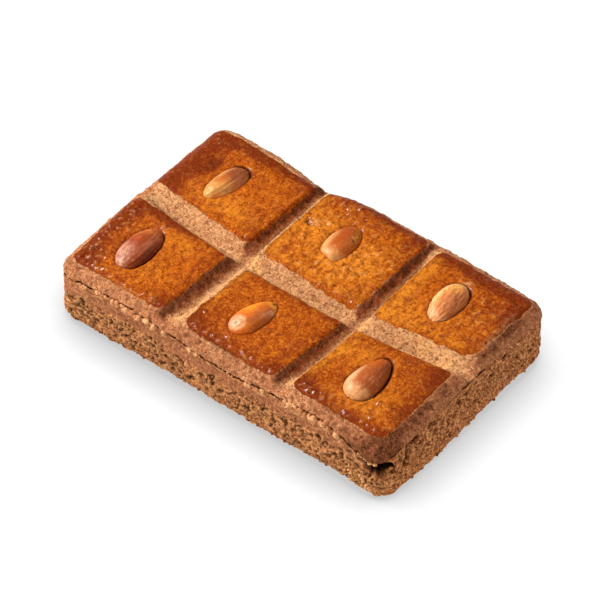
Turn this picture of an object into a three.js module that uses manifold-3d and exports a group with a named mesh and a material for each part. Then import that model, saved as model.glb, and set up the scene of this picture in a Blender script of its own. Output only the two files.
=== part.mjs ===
// Filled speculaas: a spiced-dough slab baked in a tin. A crumbly bottom layer
// carries a top sheet pressed into six raised squares, and every square holds
// one whole almond sunk into the dough. Millimetres, +Z up, +X along the long
// edge. The origin is the middle of the underside.
import * as THREE from 'three';
import { mergeVertices } from 'three/addons/utils/BufferGeometryUtils.js';
import Module from 'manifold-3d';

// ---- driving dimensions (mm) ----
const LENGTH = 160;            // long edge at the widest level
const WIDTH = 100.4;           // short edge at the widest level
const CROWN = 30.0;            // height of the raised squares
const CORNER_R = 8;            // radius of the upright corners
const FOOT_INSET = 2.4;        // how far the underside stands in from the widest level
const SEAM_Z = 23.7;           // mean height of the seam between the two layers
const SEAM_INSET = 0.9;        // how far the bottom layer stands in at the seam
const LIP_INSET = 0.45;        // the top sheet overhangs the bottom layer a little
const CORE_Z = 19.5;           // level where the layers meet away from the sides
const CORE_INSET = 9;          // distance from the side where that level starts
const GAP = 0.32;              // clearance between touching pieces
const CELL = 7.5;              // widest spacing of the surface lines
const EDGE_RUN = 6.2;          // breadth of the rolled-over edge of the top sheet
const EDGE_POW = 1.55;         // below 2, the roll is flatter than a quarter ellipse
const LONG_GROOVE = { depth: 4.8, half: 6.3, mid: -3.9, bow: 0.00106 };
const SHORT_GROOVES = [
  { x: -24.9, depth: 4.6, half: 5.5, back: 3.7, lean: 0.014, bow: -0.0004, end: 0.8 },
  { x: 29.1, depth: 4.6, half: 4.3, back: 3.6, lean: 0.004, bow: -0.0006, end: 0.45 },
];
const ALMOND_SINK = -1.0;      // middle of an almond, measured from the crown
// each almond: centre x, y, length, width, thickness, turn (deg), taper towards
// the far end, share of the half length cut off flat at the near end, slant of that cut
const ALMONDS = [
  { x: -57.8, y: -26.0, len: 25.0, wid: 13.3, thk: 8.6, turn: 3.0, tip: 0.06, cut: 0, slant: 0 },
  { x: -1.1, y: -27.4, len: 22.2, wid: 11.8, thk: 8.2, turn: -10.0, tip: 0.18, cut: 0, slant: 0 },
  { x: 52.0, y: -25.2, len: 24.8, wid: 12.8, thk: 8.8, turn: 2.0, tip: 0.28, cut: 0, slant: 0 },
  { x: -54.9, y: 22.0, len: 21.8, wid: 10.8, thk: 8.0, turn: 171.0, tip: 0.10, cut: 0, slant: 0 },
  { x: 0.1, y: 24.0, len: 21.6, wid: 12.2, thk: 7.8, turn: 3.0, tip: 0.04, cut: 0.13, slant: -0.34 },
  { x: 50.7, y: 24.1, len: 22.6, wid: 12.0, thk: 8.2, turn: 5.0, tip: -0.12, cut: 0, slant: 0 },
];
// sags and swells of the seam: centre x, y, height, spread in x and in y
const SEAM_WAVES = [
  { x: -50, y: -50, h: 1.3, sx: 16, sy: 12 },
  { x: 1, y: -50, h: -2.4, sx: 14, sy: 12 },
  { x: 46, y: -50, h: 1.6, sx: 13, sy: 12 },
  { x: -80, y: -50, h: -2.2, sx: 12, sy: 12 },
  { x: 80, y: 2, h: 1.2, sx: 12, sy: 13 },
  { x: -26, y: 50, h: -2.0, sx: 13, sy: 12 },
  { x: 34, y: 50, h: 0.9, sx: 18, sy: 12 },
  { x: -80, y: -6, h: 0.8, sx: 12, sy: 15 },
  { x: -80, y: 50, h: -1.2, sx: 10, sy: 10 },
  { x: 80, y: 50, h: -1.6, sx: 11, sy: 10 },
];
// where the top lies lower or higher than the crown along the sides
const SLUMPS = [
  { x: -60, y: 50, h: 1.1, sx: 15, sy: 9 },
  { x: -33, y: 50, h: -2.4, sx: 12, sy: 9 },
  { x: -5, y: 50, h: 1.5, sx: 11, sy: 9 },
  { x: 38, y: 50, h: -1.2, sx: 28, sy: 8 },
  { x: 80, y: -18, h: -0.5, sx: 8, sy: 24 },
];
// where the side is pinched in at the end of a groove, and where the foot stands
// further in or out than FOOT_INSET
const PINCH = { x: -26, y: 50, h: 1.7, sx: 8, sy: 10 };
const FOOT_WAVES = [
  { x: -20, y: -50, h: 0.7, sx: 17, sy: 8 },
  { x: 57, y: -50, h: 0.9, sx: 12, sy: 8 },
  { x: 80, y: -20, h: -1.1, sx: 8, sy: 12 },
  { x: 80, y: 36, h: 0.3, sx: 8, sy: 12 },
];
// the top sheet hangs down over one corner, and the layer under it is hollowed there
const DROOP = { x: 71.5, y: -50.5, h: -6.4, sx: 9.5, sy: 3.6 };
const HOLLOW = { x: 77.0, y: -48.7, z: 16.0, deep: 5.2, spread: 5.6, tall: 2.5 };

const HX = LENGTH / 2;
const HY = WIDTH / 2;

// ---- small helpers ----
const clamp = (v, lo, hi) => Math.min(hi, Math.max(lo, v));
const smooth = (a, b, v) => {
  const t = clamp((v - a) / (b - a), 0, 1);
  return t * t * (3 - 2 * t);
};
const bell = (g, x, y) => g.h * Math.exp(-0.5 * (((x - g.x) / g.sx) ** 2 + ((y - g.y) / g.sy) ** 2));

// A point of the plain rectangle, moved onto the rounded slab: everything nearer
// to a corner than the corner radius slides onto the arc at the same distance
// from the side. extra pushes the whole ring inwards.
function onSlab(x, y, extra = 0) {
  const d = Math.min(HX - Math.abs(x), HY - Math.abs(y));
  const ax = HX - d;
  const ay = HY - d;
  const r = Math.max(CORNER_R - d, 0);
  let px = Math.abs(x);
  let py = Math.abs(y);
  let nx = ax - px < ay - py ? 1 : 0;
  let ny = 1 - nx;
  const reach = Math.max(ax - px, ay - py);
  if (r > 1e-9 && reach < r) {
    const turn = ((r - reach) / r) * (Math.PI / 4);
    const along = ax - px < ay - py ? turn : Math.PI / 2 - turn;
    nx = Math.cos(along);
    ny = Math.sin(along);
    px = ax - r + r * nx;
    py = ay - r + r * ny;
  }
  return {
    x: Math.sign(x) * (px - extra * nx),
    y: Math.sign(y) * (py - extra * ny),
    d,
  };
}

// The point of the outermost ring that lies straight outwards from (x, y).
function rimOf(x, y) {
  const k = 1 / Math.max(Math.abs(x) / HX, Math.abs(y) / HY, 1e-6);
  return onSlab(x * k, y * k);
}

function seamHeight(x, y) {
  let z = SEAM_Z + bell(DROOP, x, y);
  for (const g of SEAM_WAVES) z += bell(g, x, y);
  return z;
}

// ---- the grooves pressed between the squares ----
const longMid = (x) => LONG_GROOVE.mid + LONG_GROOVE.bow * x * x;
const shortMid = (g, y) => g.x + g.lean * y + g.bow * y * y;

function grooveAt(x, y) {
  const long = Math.abs(y - longMid(x)) / LONG_GROOVE.half;
  const fade = 1 - 0.5 * smooth(55, 79, Math.abs(x));
  let deep = (LONG_GROOVE.depth * fade * (1 - smooth(0.12, 1, long))) ** 3;
  for (const g of SHORT_GROOVES) {
    const across = Math.abs(x - shortMid(g, y)) / (g.half + (g.back - g.half) * smooth(-12, 12, y));
    const end = 1 - 0.45 * smooth(34, 49, -y) - (1 - g.end) * smooth(30, 49, y);
    deep += (g.depth * end * (1 - smooth(0.1, 1, across))) ** 3;
  }
  return Math.cbrt(deep);
}

// Squares swell slightly towards their middles.
function pillow(x, y) {
  const cell = x < SHORT_GROOVES[0].x ? -54 : x > SHORT_GROOVES[1].x ? 53 : 1;
  const row = y < LONG_GROOVE.mid ? -27 : 24;
  return 0.5 * Math.exp(-(((x - cell) / 20) ** 2) - (((y - row) / 17) ** 2));
}

function lidTop(x, y, d, rim) {
  const foot = seamHeight(rim.x, rim.y) + 1.1;
  let crown = CROWN - 0.5 + pillow(x, y);
  for (const g of SLUMPS) crown += bell(g, x, y);
  // near the sides the grooves stay clear of the seam
  const least = foot + 0.8 + (22 - foot - 0.8) * smooth(7, 22, d);
  const top = Math.max(crown - grooveAt(x, y), least);
  const t = clamp(d / EDGE_RUN, 0, 1);
  const roll = (1 - (1 - t) ** EDGE_POW) ** (1 / EDGE_POW);
  return foot + (top - foot) * roll;
}

// ---- grid lines, closer together at the grooves, the rolled edge and the corners ----
function lines(half, mids) {
  const out = [];
  const near = [0, 1.1, 2.9, 5.2, 8];
  for (const n of near) out.push(-half + n, half - n);
  for (const m of mids) {
    for (const k of [-1.02, -0.66, -0.3, 0, 0.3, 0.66, 1.02]) out.push(m.at + k * m.half);
  }
  out.sort((a, b) => a - b);
  const full = [out[0]];
  for (let i = 1; i < out.length; i += 1) {
    const from = full[full.length - 1];
    const span = out[i] - from;
    if (span < 0.35) continue;
    const cells = Math.ceil(span / CELL);
    for (let k = 1; k <= cells; k += 1) full.push(from + (span * k) / cells);
  }
  return full;
}
const XS = lines(HX, SHORT_GROOVES.map((g) => ({ at: g.x, half: g.half })));
const YS = lines(HY, [{ at: LONG_GROOVE.mid, half: LONG_GROOVE.half }]);

// The lines bend with the grooves and stay put at the sides.
function bent(x, y) {
  let bx = x;
  for (const g of SHORT_GROOVES) {
    bx += (shortMid(g, y) - g.x) * Math.exp(-(((x - g.x) / 14) ** 2));
  }
  const keep = 1 - smooth(HY - 14, HY - 1, Math.abs(y));
  const by = y + (longMid(x) - LONG_GROOVE.mid) * Math.exp(-(((y - LONG_GROOVE.mid) / 16) ** 2)) * keep;
  return { x: Math.abs(x) >= HX - 1e-6 ? x : bx, y: Math.abs(y) >= HY - 1e-6 ? y : by };
}

// Grid indices round the border, anticlockwise seen from above.
function border() {
  const ring = [];
  for (let i = 0; i < XS.length - 1; i += 1) ring.push([i, 0]);
  for (let j = 0; j < YS.length - 1; j += 1) ring.push([XS.length - 1, j]);
  for (let i = XS.length - 1; i > 0; i -= 1) ring.push([i, YS.length - 1]);
  for (let j = YS.length - 1; j > 0; j -= 1) ring.push([0, j]);
  return ring;
}
const BORDER = border().map(([i, j]) => {
  const p = bent(XS[i], YS[j]);
  return { i, j, x: p.x, y: p.y };
});

function geometryFrom(points, faces) {
  const g = new THREE.BufferGeometry();
  g.setAttribute('position', new THREE.BufferAttribute(new Float32Array(points.flat()), 3));
  g.setIndex(faces.flat());
  return g;
}

// Joins two rings of equal length; the first ring lies above the second one.
function band(faces, upper, lower, count) {
  for (let k = 0; k < count; k += 1) {
    const n = (k + 1) % count;
    faces.push([upper + k, lower + k, lower + n], [upper + k, lower + n, upper + n]);
  }
}

// ---- top sheet ----
function lidGeometry() {
  const points = [];
  const faces = [];
  const nx = XS.length;
  const ny = YS.length;
  for (let j = 0; j < ny; j += 1) {
    for (let i = 0; i < nx; i += 1) {
      const p = bent(XS[i], YS[j]);
      const rim = rimOf(p.x, p.y);
      const s = onSlab(p.x, p.y, LIP_INSET + bell(PINCH, p.x, p.y));
      points.push([s.x, s.y, lidTop(s.x, s.y, s.d, rim)]);
    }
  }
  for (let j = 0; j < ny - 1; j += 1) {
    for (let i = 0; i < nx - 1; i += 1) {
      const a = j * nx + i;
      const b = a + 1;
      const c = a + nx;
      const d = c + 1;
      // the diagonal runs outwards in every corner
      if ((i < nx / 2) === (j < ny / 2)) faces.push([a, b, d], [a, d, c]);
      else faces.push([a, b, c], [b, d, c]);
    }
  }
  const count = BORDER.length;
  const rings = [
    { inset: LIP_INSET + 0.05, up: 0.35 },
    { inset: SEAM_INSET, up: 0 },
  ];
  // the side hangs from the border of the grid; its first ring is that border
  const top = BORDER.map((b) => b.j * nx + b.i);
  const starts = rings.map((r) => {
    const at = points.length;
    for (const b of BORDER) {
      const rim = rimOf(b.x, b.y);
      const s = onSlab(b.x, b.y, r.inset + bell(PINCH, b.x, b.y));
      points.push([s.x, s.y, seamHeight(rim.x, rim.y) + GAP + r.up]);
    }
    return at;
  });
  for (let k = 0; k < count; k += 1) {
    const n = (k + 1) % count;
    faces.push([top[k], starts[0] + k, starts[0] + n], [top[k], starts[0] + n, top[n]]);
  }
  band(faces, starts[0], starts[1], count);
  // underside: down to the level of the core, then flat
  const core = points.length;
  for (const b of BORDER) {
    points.push([(b.x * (HX - CORE_INSET)) / HX, (b.y * (HY - CORE_INSET)) / HY, CORE_Z + GAP]);
  }
  const mid = points.length;
  points.push([0, 0, CORE_Z + GAP]);
  for (let k = 0; k < count; k += 1) {
    const n = (k + 1) % count;
    faces.push([starts[1] + k, core + k, core + n], [starts[1] + k, core + n, starts[1] + n]);
    faces.push([core + k, mid, core + n]);
  }
  return geometryFrom(points, faces);
}

// ---- bottom layer ----
// How far the side stands in from the widest level at height z, by its share of
// the way up to the seam; the baked side is a little wavy.
function sideInset(x, y, z, share) {
  let foot = FOOT_INSET;
  for (const g of FOOT_WAVES) foot += bell(g, x, y);
  foot *= (1 - smooth(0, 0.24, share)) ** 1.3;
  const shoulder = (SEAM_INSET + bell(PINCH, x, y)) * smooth(0.35, 1, share);
  const wave = 0.22 * Math.sin(x * 0.31 + z * 0.4) * Math.cos(y * 0.27 - z * 0.23)
    + 0.16 * Math.sin(x * 0.83 - y * 0.71 + z * 0.9);
  const h = HOLLOW;
  const near = ((x - h.x) ** 2 + (y - h.y) ** 2) / (h.spread * h.spread);
  const pit = h.deep * Math.exp(-0.5 * near - 0.5 * ((z - h.z) / h.tall) ** 2);
  const quiet = smooth(0, 0.12, share) * (1 - smooth(0.86, 1, share));
  return foot + shoulder + (wave + 0.2) * quiet + pit * (share < 1 ? 1 : 0);
}

function baseGeometry() {
  const points = [];
  const faces = [];
  const count = BORDER.length;
  const shares = [1, 0.88, 0.74, 0.58, 0.42, 0.26, 0.1, 0];
  const starts = shares.map((share) => {
    const at = points.length;
    for (const b of BORDER) {
      const rim = rimOf(b.x, b.y);
      const z = seamHeight(rim.x, rim.y) * share;
      const s = onSlab(b.x, b.y, sideInset(rim.x, rim.y, z, share));
      points.push([s.x, s.y, z]);
    }
    return at;
  });
  for (let k = 0; k < starts.length - 1; k += 1) band(faces, starts[k], starts[k + 1], count);
  const core = points.length;
  for (const b of BORDER) {
    points.push([(b.x * (HX - CORE_INSET)) / HX, (b.y * (HY - CORE_INSET)) / HY, CORE_Z]);
  }
  const mid = points.length;
  points.push([0, 0, CORE_Z]);
  const under = points.length;
  points.push([0, 0, 0]);
  const last = starts[starts.length - 1];
  for (let k = 0; k < count; k += 1) {
    const n = (k + 1) % count;
    faces.push([starts[0] + k, starts[0] + n, core + n], [starts[0] + k, core + n, core + k]);
    faces.push([core + k, core + n, mid]);
    faces.push([last + k, under, last + n]);
  }
  return geometryFrom(points, faces);
}

// ---- almonds ----
// A flattened oval, narrower towards one end, with the low ridge that runs round
// an almond's edge. grow enlarges it evenly for a socket.
function almondGeometry(a, grow = 0) {
  const rings = 11;
  const around = 14;
  const points = [];
  const faces = [];
  const halfLen = a.len / 2;
  const low = -halfLen * (1 - a.cut) - grow;
  const profile = (u) => Math.max(0, 1 - Math.abs(u) ** 2.2) ** 0.52 * (1 - a.tip * u);
  for (let i = 1; i < rings; i += 1) {
    const u = -Math.cos((Math.PI * i) / rings);
    const r = profile(u);
    for (let k = 0; k < around; k += 1) {
      const w = (2 * Math.PI * k) / around;
      const s = Math.sin(w);
      const x = (a.wid / 2 + grow) * r * Math.cos(w);
      points.push([
        x,
        Math.max(u * (halfLen + grow), low + a.slant * x + 0.12 * i),
        (a.thk / 2 + grow) * r * Math.sign(s) * Math.abs(s) ** 1.12,
      ]);
    }
  }
  const blunt = points.length;
  points.push([0, low, 0]);
  const tip = points.length;
  points.push([0, halfLen + grow, 0]);
  for (let i = 0; i < rings - 2; i += 1) {
    for (let k = 0; k < around; k += 1) {
      const n = (k + 1) % around;
      const p = i * around;
      const q = p + around;
      faces.push([p + k, q + k, q + n], [p + k, q + n, p + n]);
    }
  }
  const last = (rings - 2) * around;
  for (let k = 0; k < around; k += 1) {
    const n = (k + 1) % around;
    faces.push([blunt, k, n], [tip, last + n, last + k]);
  }
  return geometryFrom(points, faces);
}

function almondPlace(a) {
  const z = CROWN + pillow(a.x, a.y) - 0.5 + ALMOND_SINK;
  return new THREE.Matrix4().compose(
    new THREE.Vector3(a.x, a.y, z),
    new THREE.Quaternion().setFromEuler(new THREE.Euler(0, 0, (a.turn * Math.PI) / 180)),
    new THREE.Vector3(1, 1, 1),
  );
}

// ---- the almonds' sockets are cut from the top sheet ----
const wasm = await Module();
wasm.setup();

function solidOf(geometry) {
  const g = geometry.clone();
  g.deleteAttribute('normal');
  g.deleteAttribute('uv');
  const m = mergeVertices(g, 1e-5);
  return new wasm.Manifold(new wasm.Mesh({
    numProp: 3,
    vertProperties: new Float32Array(m.attributes.position.array),
    triVerts: new Uint32Array(m.index.array),
  }));
}

function geometryOf(solid) {
  const mesh = solid.getMesh();
  const g = new THREE.BufferGeometry();
  g.setAttribute('position', new THREE.BufferAttribute(new Float32Array(mesh.vertProperties), 3));
  g.setIndex(new THREE.BufferAttribute(new Uint32Array(mesh.triVerts), 1));
  return g;
}

let lid = solidOf(lidGeometry());
for (const a of ALMONDS) {
  const socket = almondGeometry(a, GAP + 0.06).applyMatrix4(almondPlace(a));
  lid = lid.subtract(solidOf(socket));
}

// ---- materials and the finished slab ----
const dough = new THREE.MeshStandardMaterial({ color: 0xb07a4e, roughness: 0.85, metalness: 0 });
const crumb = new THREE.MeshStandardMaterial({ color: 0x9a653c, roughness: 0.95, metalness: 0 });
const nut = new THREE.MeshStandardMaterial({ color: 0xb5713c, roughness: 0.35, metalness: 0 });

function piece(name, geometry, material) {
  geometry.computeVertexNormals();
  const mesh = new THREE.Mesh(geometry, material);
  mesh.name = name;
  return mesh;
}

const group = new THREE.Group();
group.name = 'filled_speculaas';
group.add(piece('dough_base', baseGeometry(), crumb));
group.add(piece('dough_lid', geometryOf(lid), dough));
ALMONDS.forEach((a, k) => {
  const mesh = piece(`almond_${k + 1}`, almondGeometry(a), nut);
  mesh.applyMatrix4(almondPlace(a));
  group.add(mesh);
});

export default group;
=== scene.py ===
"""Looks of the filled speculaas: fine dough, glaze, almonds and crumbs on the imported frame."""

import math

import bpy
import numpy as np
from mathutils import Matrix, Vector


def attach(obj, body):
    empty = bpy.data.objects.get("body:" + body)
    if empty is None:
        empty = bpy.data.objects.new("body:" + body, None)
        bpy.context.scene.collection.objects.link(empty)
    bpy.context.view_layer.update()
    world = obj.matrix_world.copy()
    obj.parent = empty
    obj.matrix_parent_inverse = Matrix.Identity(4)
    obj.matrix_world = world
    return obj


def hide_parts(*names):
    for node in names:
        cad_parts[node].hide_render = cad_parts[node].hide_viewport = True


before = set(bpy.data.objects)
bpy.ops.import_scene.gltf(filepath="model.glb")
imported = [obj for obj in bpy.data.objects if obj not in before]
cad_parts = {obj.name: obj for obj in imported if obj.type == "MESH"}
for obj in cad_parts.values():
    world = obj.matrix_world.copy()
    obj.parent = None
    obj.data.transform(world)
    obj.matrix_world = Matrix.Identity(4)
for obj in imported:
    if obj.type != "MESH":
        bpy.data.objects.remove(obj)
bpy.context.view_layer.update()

MM = 0.001

# ---------------------------------------------------------------- sizes (mm)
LENGTH, WIDTH, CROWN, CORNER_R = 160.0, 100.4, 30.0, 8.0
HX, HY = LENGTH / 2, WIDTH / 2
FOOT_INSET, SEAM_Z, SEAM_INSET, LIP_INSET = 2.4, 23.7, 0.9, 0.45
CORE_Z, CORE_INSET, GAP = 19.5, 9.0, 0.32
EDGE_RUN, EDGE_POW = 6.2, 1.55
LONG = dict(depth=4.8, half=6.3, mid=-3.9, bow=0.00106)
SHORTS = [
    dict(x=-24.9, depth=4.6, half=5.5, back=3.7, lean=0.014, bow=-0.0004, end=0.8),
    dict(x=29.1, depth=4.6, half=4.3, back=3.6, lean=0.004, bow=-0.0006, end=0.45),
]
ALMOND_SINK = -1.0
ALMONDS = [
    dict(x=-57.8, y=-26.0, len=25.0, wid=13.3, thk=8.6, turn=3.0, tip=0.06, cut=0.0, slant=0.0),
    dict(x=-1.1, y=-27.4, len=22.2, wid=11.8, thk=8.2, turn=-10.0, tip=0.18, cut=0.0, slant=0.0),
    dict(x=52.0, y=-25.2, len=24.8, wid=12.8, thk=8.8, turn=2.0, tip=0.28, cut=0.0, slant=0.0),
    dict(x=-54.9, y=22.0, len=21.8, wid=10.8, thk=8.0, turn=171.0, tip=0.10, cut=0.0, slant=0.0),
    dict(x=0.1, y=24.0, len=21.6, wid=12.2, thk=7.8, turn=3.0, tip=0.04, cut=0.13, slant=-0.34),
    dict(x=50.7, y=24.1, len=22.6, wid=12.0, thk=8.2, turn=5.0, tip=-0.12, cut=0.0, slant=0.0),
]
# x, y, height, spread in x, spread in y
SEAM_WAVES = [
    (-50, -50, 1.3, 16, 12), (1, -50, -2.4, 14, 12), (46, -50, 1.6, 13, 12), (-80, -50, -2.2, 12, 12),
    (80, 2, 1.2, 12, 13), (-26, 50, -2.0, 13, 12), (34, 50, 0.9, 18, 12), (-80, -6, 0.8, 12, 15),
    (-80, 50, -1.2, 10, 10), (80, 50, -1.6, 11, 10),
]
SLUMPS = [(-60, 50, 1.1, 15, 9), (-33, 50, -2.4, 12, 9), (-5, 50, 1.5, 11, 9), (38, 50, -1.2, 28, 8), (80, -18, -0.5, 8, 24)]
PINCH = (-26, 50, 1.7, 8, 10)
FOOT_WAVES = [(-20, -50, 0.7, 17, 8), (57, -50, 0.9, 12, 8), (80, -20, -1.1, 8, 12), (80, 36, 0.3, 8, 12)]
DROOP = (71.5, -50.5, -6.4, 9.5, 3.6)
HOLLOW = dict(x=76.0, y=-49.0, z=15.8, deep=6.6, spread=5.7, tall=4.0)


# ---------------------------------------------------------------- helpers
def smooth(a, b, v):
    t = np.clip((v - a) / (b - a), 0, 1)
    return t * t * (3 - 2 * t)


def bell(g, x, y):
    return g[2] * np.exp(-0.5 * (((x - g[0]) / g[3]) ** 2 + ((y - g[1]) / g[4]) ** 2))


def scatter_hash(ix, iy, iz, seed):
    h = (ix.astype(np.uint32) * np.uint32(374761393) + iy.astype(np.uint32) * np.uint32(668265263)
         + iz.astype(np.uint32) * np.uint32(2246822519) + np.uint32((seed * 3266489917) & 0xFFFFFFFF))
    h ^= h >> np.uint32(15)
    h *= np.uint32(2246822519)
    h ^= h >> np.uint32(13)
    h *= np.uint32(3266489917)
    h ^= h >> np.uint32(16)
    return h


def noise(p, size, seed):
    """Gradient noise, about -1 to 1, with bumps about size wide; size may be a triple."""
    sx, sy, sz = (size, size, size) if np.isscalar(size) else size
    x, y, z = p[0] / sx, p[1] / sy, p[2] / sz
    xi, yi, zi = np.floor(x), np.floor(y), np.floor(z)
    xf, yf, zf = x - xi, y - yi, z - zi
    u, v, w = (t ** 3 * (t * (t * 6 - 15) + 10) for t in (xf, yf, zf))
    xi, yi, zi = xi.astype(np.int64), yi.astype(np.int64), zi.astype(np.int64)
    out = np.zeros(np.broadcast(x, y, z).shape)
    for dx in (0, 1):
        for dy in (0, 1):
            for dz in (0, 1):
                h = scatter_hash(xi + dx, yi + dy, zi + dz, seed)
                gx = (h & np.uint32(1023)) / 511.5 - 1
                gy = ((h >> np.uint32(10)) & np.uint32(1023)) / 511.5 - 1
                gz = ((h >> np.uint32(20)) & np.uint32(1023)) / 511.5 - 1
                dot = gx * (xf - dx) + gy * (yf - dy) + gz * (zf - dz)
                out += (u if dx else 1 - u) * (v if dy else 1 - v) * (w if dz else 1 - w) * dot
    return out * 1.8


def fbm(p, size, seed, octaves=3, gain=0.5):
    s = np.array([size] * 3 if np.isscalar(size) else size, float)
    out, amp = 0.0, 1.0
    for k in range(octaves):
        out = out + amp * noise(p, tuple(s), seed + 31 * k)
        amp *= gain
        s = s / 2.03
    return out


def spots(p, size, seed, share, rmin, rmax):
    """Round spots scattered one to a cell: 1 at a spot's middle, 0 from its edge on. Radii are in cells."""
    sx, sy, sz = (size, size, size) if np.isscalar(size) else size
    x, y, z = p[0] / sx, p[1] / sy, p[2] / sz
    xi, yi, zi = (np.floor(t).astype(np.int64) for t in (x, y, z))
    best = np.zeros(x.shape)
    for dx in (-1, 0, 1):
        for dy in (-1, 0, 1):
            for dz in (-1, 0, 1):
                h = scatter_hash(xi + dx, yi + dy, zi + dz, seed)
                k = scatter_hash(xi + dx, yi + dy, zi + dz, seed + 977)
                px = xi + dx + (h & np.uint32(1023)) / 1023.0
                py = yi + dy + ((h >> np.uint32(10)) & np.uint32(1023)) / 1023.0
                pz = zi + dz + ((h >> np.uint32(20)) & np.uint32(1023)) / 1023.0
                has = (k & np.uint32(4095)) / 4095.0 < share
                r = rmin + (rmax - rmin) * ((k >> np.uint32(12)) & np.uint32(4095)) / 4095.0
                d = np.sqrt((x - px) ** 2 + (y - py) ** 2 + (z - pz) ** 2)
                best = np.maximum(best, np.where(has, 1 - d / r, 0))
    return best


def face_spots(a, b, size, seed, share, rmin, rmax):
    """As spots, on a flat face with the coordinates a and b."""
    x, y = a / size[0], b / size[1]
    xi, yi = np.floor(x).astype(np.int64), np.floor(y).astype(np.int64)
    best = np.zeros(x.shape)
    for dx in (-1, 0, 1):
        for dy in (-1, 0, 1):
            h = scatter_hash(xi + dx, yi + dy, xi * 0, seed)
            k = scatter_hash(xi + dx, yi + dy, xi * 0, seed + 977)
            px = xi + dx + (h & np.uint32(1023)) / 1023.0
            py = yi + dy + ((h >> np.uint32(10)) & np.uint32(1023)) / 1023.0
            has = (k & np.uint32(4095)) / 4095.0 < share
            r = rmin + (rmax - rmin) * ((k >> np.uint32(12)) & np.uint32(4095)) / 4095.0
            best = np.maximum(best, np.where(has, 1 - np.hypot(x - px, y - py) / r, 0))
    return best


# ---------------------------------------------------------------- the slab's form
def on_slab(x, y, extra=0.0):
    """A point of the plain rectangle moved onto the rounded slab, extra further in. Gives x, y, distance from the side, outward normal."""
    ax0, ay0 = np.abs(x), np.abs(y)
    d = np.minimum(HX - ax0, HY - ay0)
    ax, ay = HX - d, HY - d
    r = np.maximum(CORNER_R - d, 0)
    on_x = (ax - ax0) < (ay - ay0)
    reach = np.maximum(ax - ax0, ay - ay0)
    arc = (r > 1e-9) & (reach < r)
    turn = np.where(arc, (r - reach) / np.maximum(r, 1e-9) * math.pi / 4, 0)
    along = np.where(on_x, turn, math.pi / 2 - turn)
    nx = np.where(arc, np.cos(along), on_x.astype(float))
    ny = np.where(arc, np.sin(along), 1.0 - on_x)
    px = np.where(arc, ax - r + r * nx, ax0)
    py = np.where(arc, ay - r + r * ny, ay0)
    keep = extra * (1 - smooth(9, 22, d))
    return np.sign(x) * (px - keep * nx), np.sign(y) * (py - keep * ny), d, np.sign(x) * nx, np.sign(y) * ny


def rim_of(x, y):
    k = 1 / np.maximum(np.maximum(np.abs(x) / HX, np.abs(y) / HY), 1e-6)
    rx, ry, _, _, _ = on_slab(x * k, y * k)
    return rx, ry


def seam_height(x, y):
    z = SEAM_Z + bell(DROOP, x, y)
    for g in SEAM_WAVES:
        z = z + bell(g, x, y)
    return z


def seam_wobble(x, y):
    """The ragged line of the seam, on top of its sags and swells."""
    flat = (x, y, x * 0)
    return (0.62 * noise(flat, 4.6, 76) + 0.34 * noise(flat, 1.9, 77)) * (1 - 0.6 * seam_shut(x, y))


def long_mid(x):
    return LONG["mid"] + LONG["bow"] * x * x


def short_mid(g, y):
    return g["x"] + g["lean"] * y + g["bow"] * y * y


def groove_at(x, y):
    across = np.abs(y - long_mid(x)) / LONG["half"]
    fade = 1 - 0.5 * smooth(55, 79, np.abs(x))
    deep = (LONG["depth"] * fade * (1 - smooth(0.12, 1, across))) ** 3
    for g in SHORTS:
        across = np.abs(x - short_mid(g, y)) / (g["half"] + (g["back"] - g["half"]) * smooth(-12, 12, y))
        end = 1 - 0.45 * smooth(34, 49, -y) - (1 - g["end"]) * smooth(30, 49, y)
        deep = deep + (g["depth"] * end * (1 - smooth(0.1, 1, across))) ** 3
    return np.cbrt(deep)


def pillow(x, y):
    cell = np.where(x < SHORTS[0]["x"], -54.0, np.where(x > SHORTS[1]["x"], 53.0, 1.0))
    row = np.where(y < LONG["mid"], -27.0, 24.0)
    return 0.5 * np.exp(-(((x - cell) / 20) ** 2) - (((y - row) / 17) ** 2))


def lid_top(x, y, d, rx, ry):
    foot = seam_height(rx, ry) + 1.1
    crown = CROWN - 0.5 + pillow(x, y)
    for g in SLUMPS:
        crown = crown + bell(g, x, y)
    least = foot + 0.8
    least = least + (22.0 - least) * smooth(7, 22, d)
    top = np.maximum(crown - groove_at(x, y), least)
    t = np.clip(d / EDGE_RUN, 0, 1)
    roll = (1 - (1 - t) ** EDGE_POW) ** (1 / EDGE_POW)
    return foot + (top - foot) * roll


def side_inset(x, y, z, share, shut):
    """How far the bottom layer's side stands in from the widest level."""
    foot = FOOT_INSET
    for g in FOOT_WAVES:
        foot = foot + bell(g, x, y)
    foot = foot * (1 - smooth(0, 0.24, share)) ** 1.3
    shoulder = (shoulder_inset(x, y) + bell(PINCH, x, y)) * smooth(0.35, 1, share)
    wave = 0.22 * np.sin(x * 0.31 + z * 0.4) * np.cos(y * 0.27 - z * 0.23) + 0.16 * np.sin(x * 0.83 - y * 0.71 + z * 0.9)
    quiet = smooth(0, 0.12, share) * (1 - smooth(0.86, 1, share))
    return foot + shoulder + (wave + 0.2) * quiet


def seam_shut(x, y):
    """1 where the two layers have baked together along the side, 0 where the seam stands open."""
    right = smooth(74, 79, x) * (1 - np.exp(-(((y - 1.5) / 8.5) ** 4))) * smooth(-44, -37, y)
    back = smooth(46, 49.6, y) * (0.35 + 0.65 * smooth(-0.2, 0.5, noise((x, y * 0, x * 0), 23, 5)))
    left = smooth(74, 79, -x) * smooth(-0.3, 0.4, noise((y, x * 0, x * 0), 19, 6)) * smooth(-46, -38, y)
    return np.clip(np.maximum(np.maximum(right, back), left), 0, 1)


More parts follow.
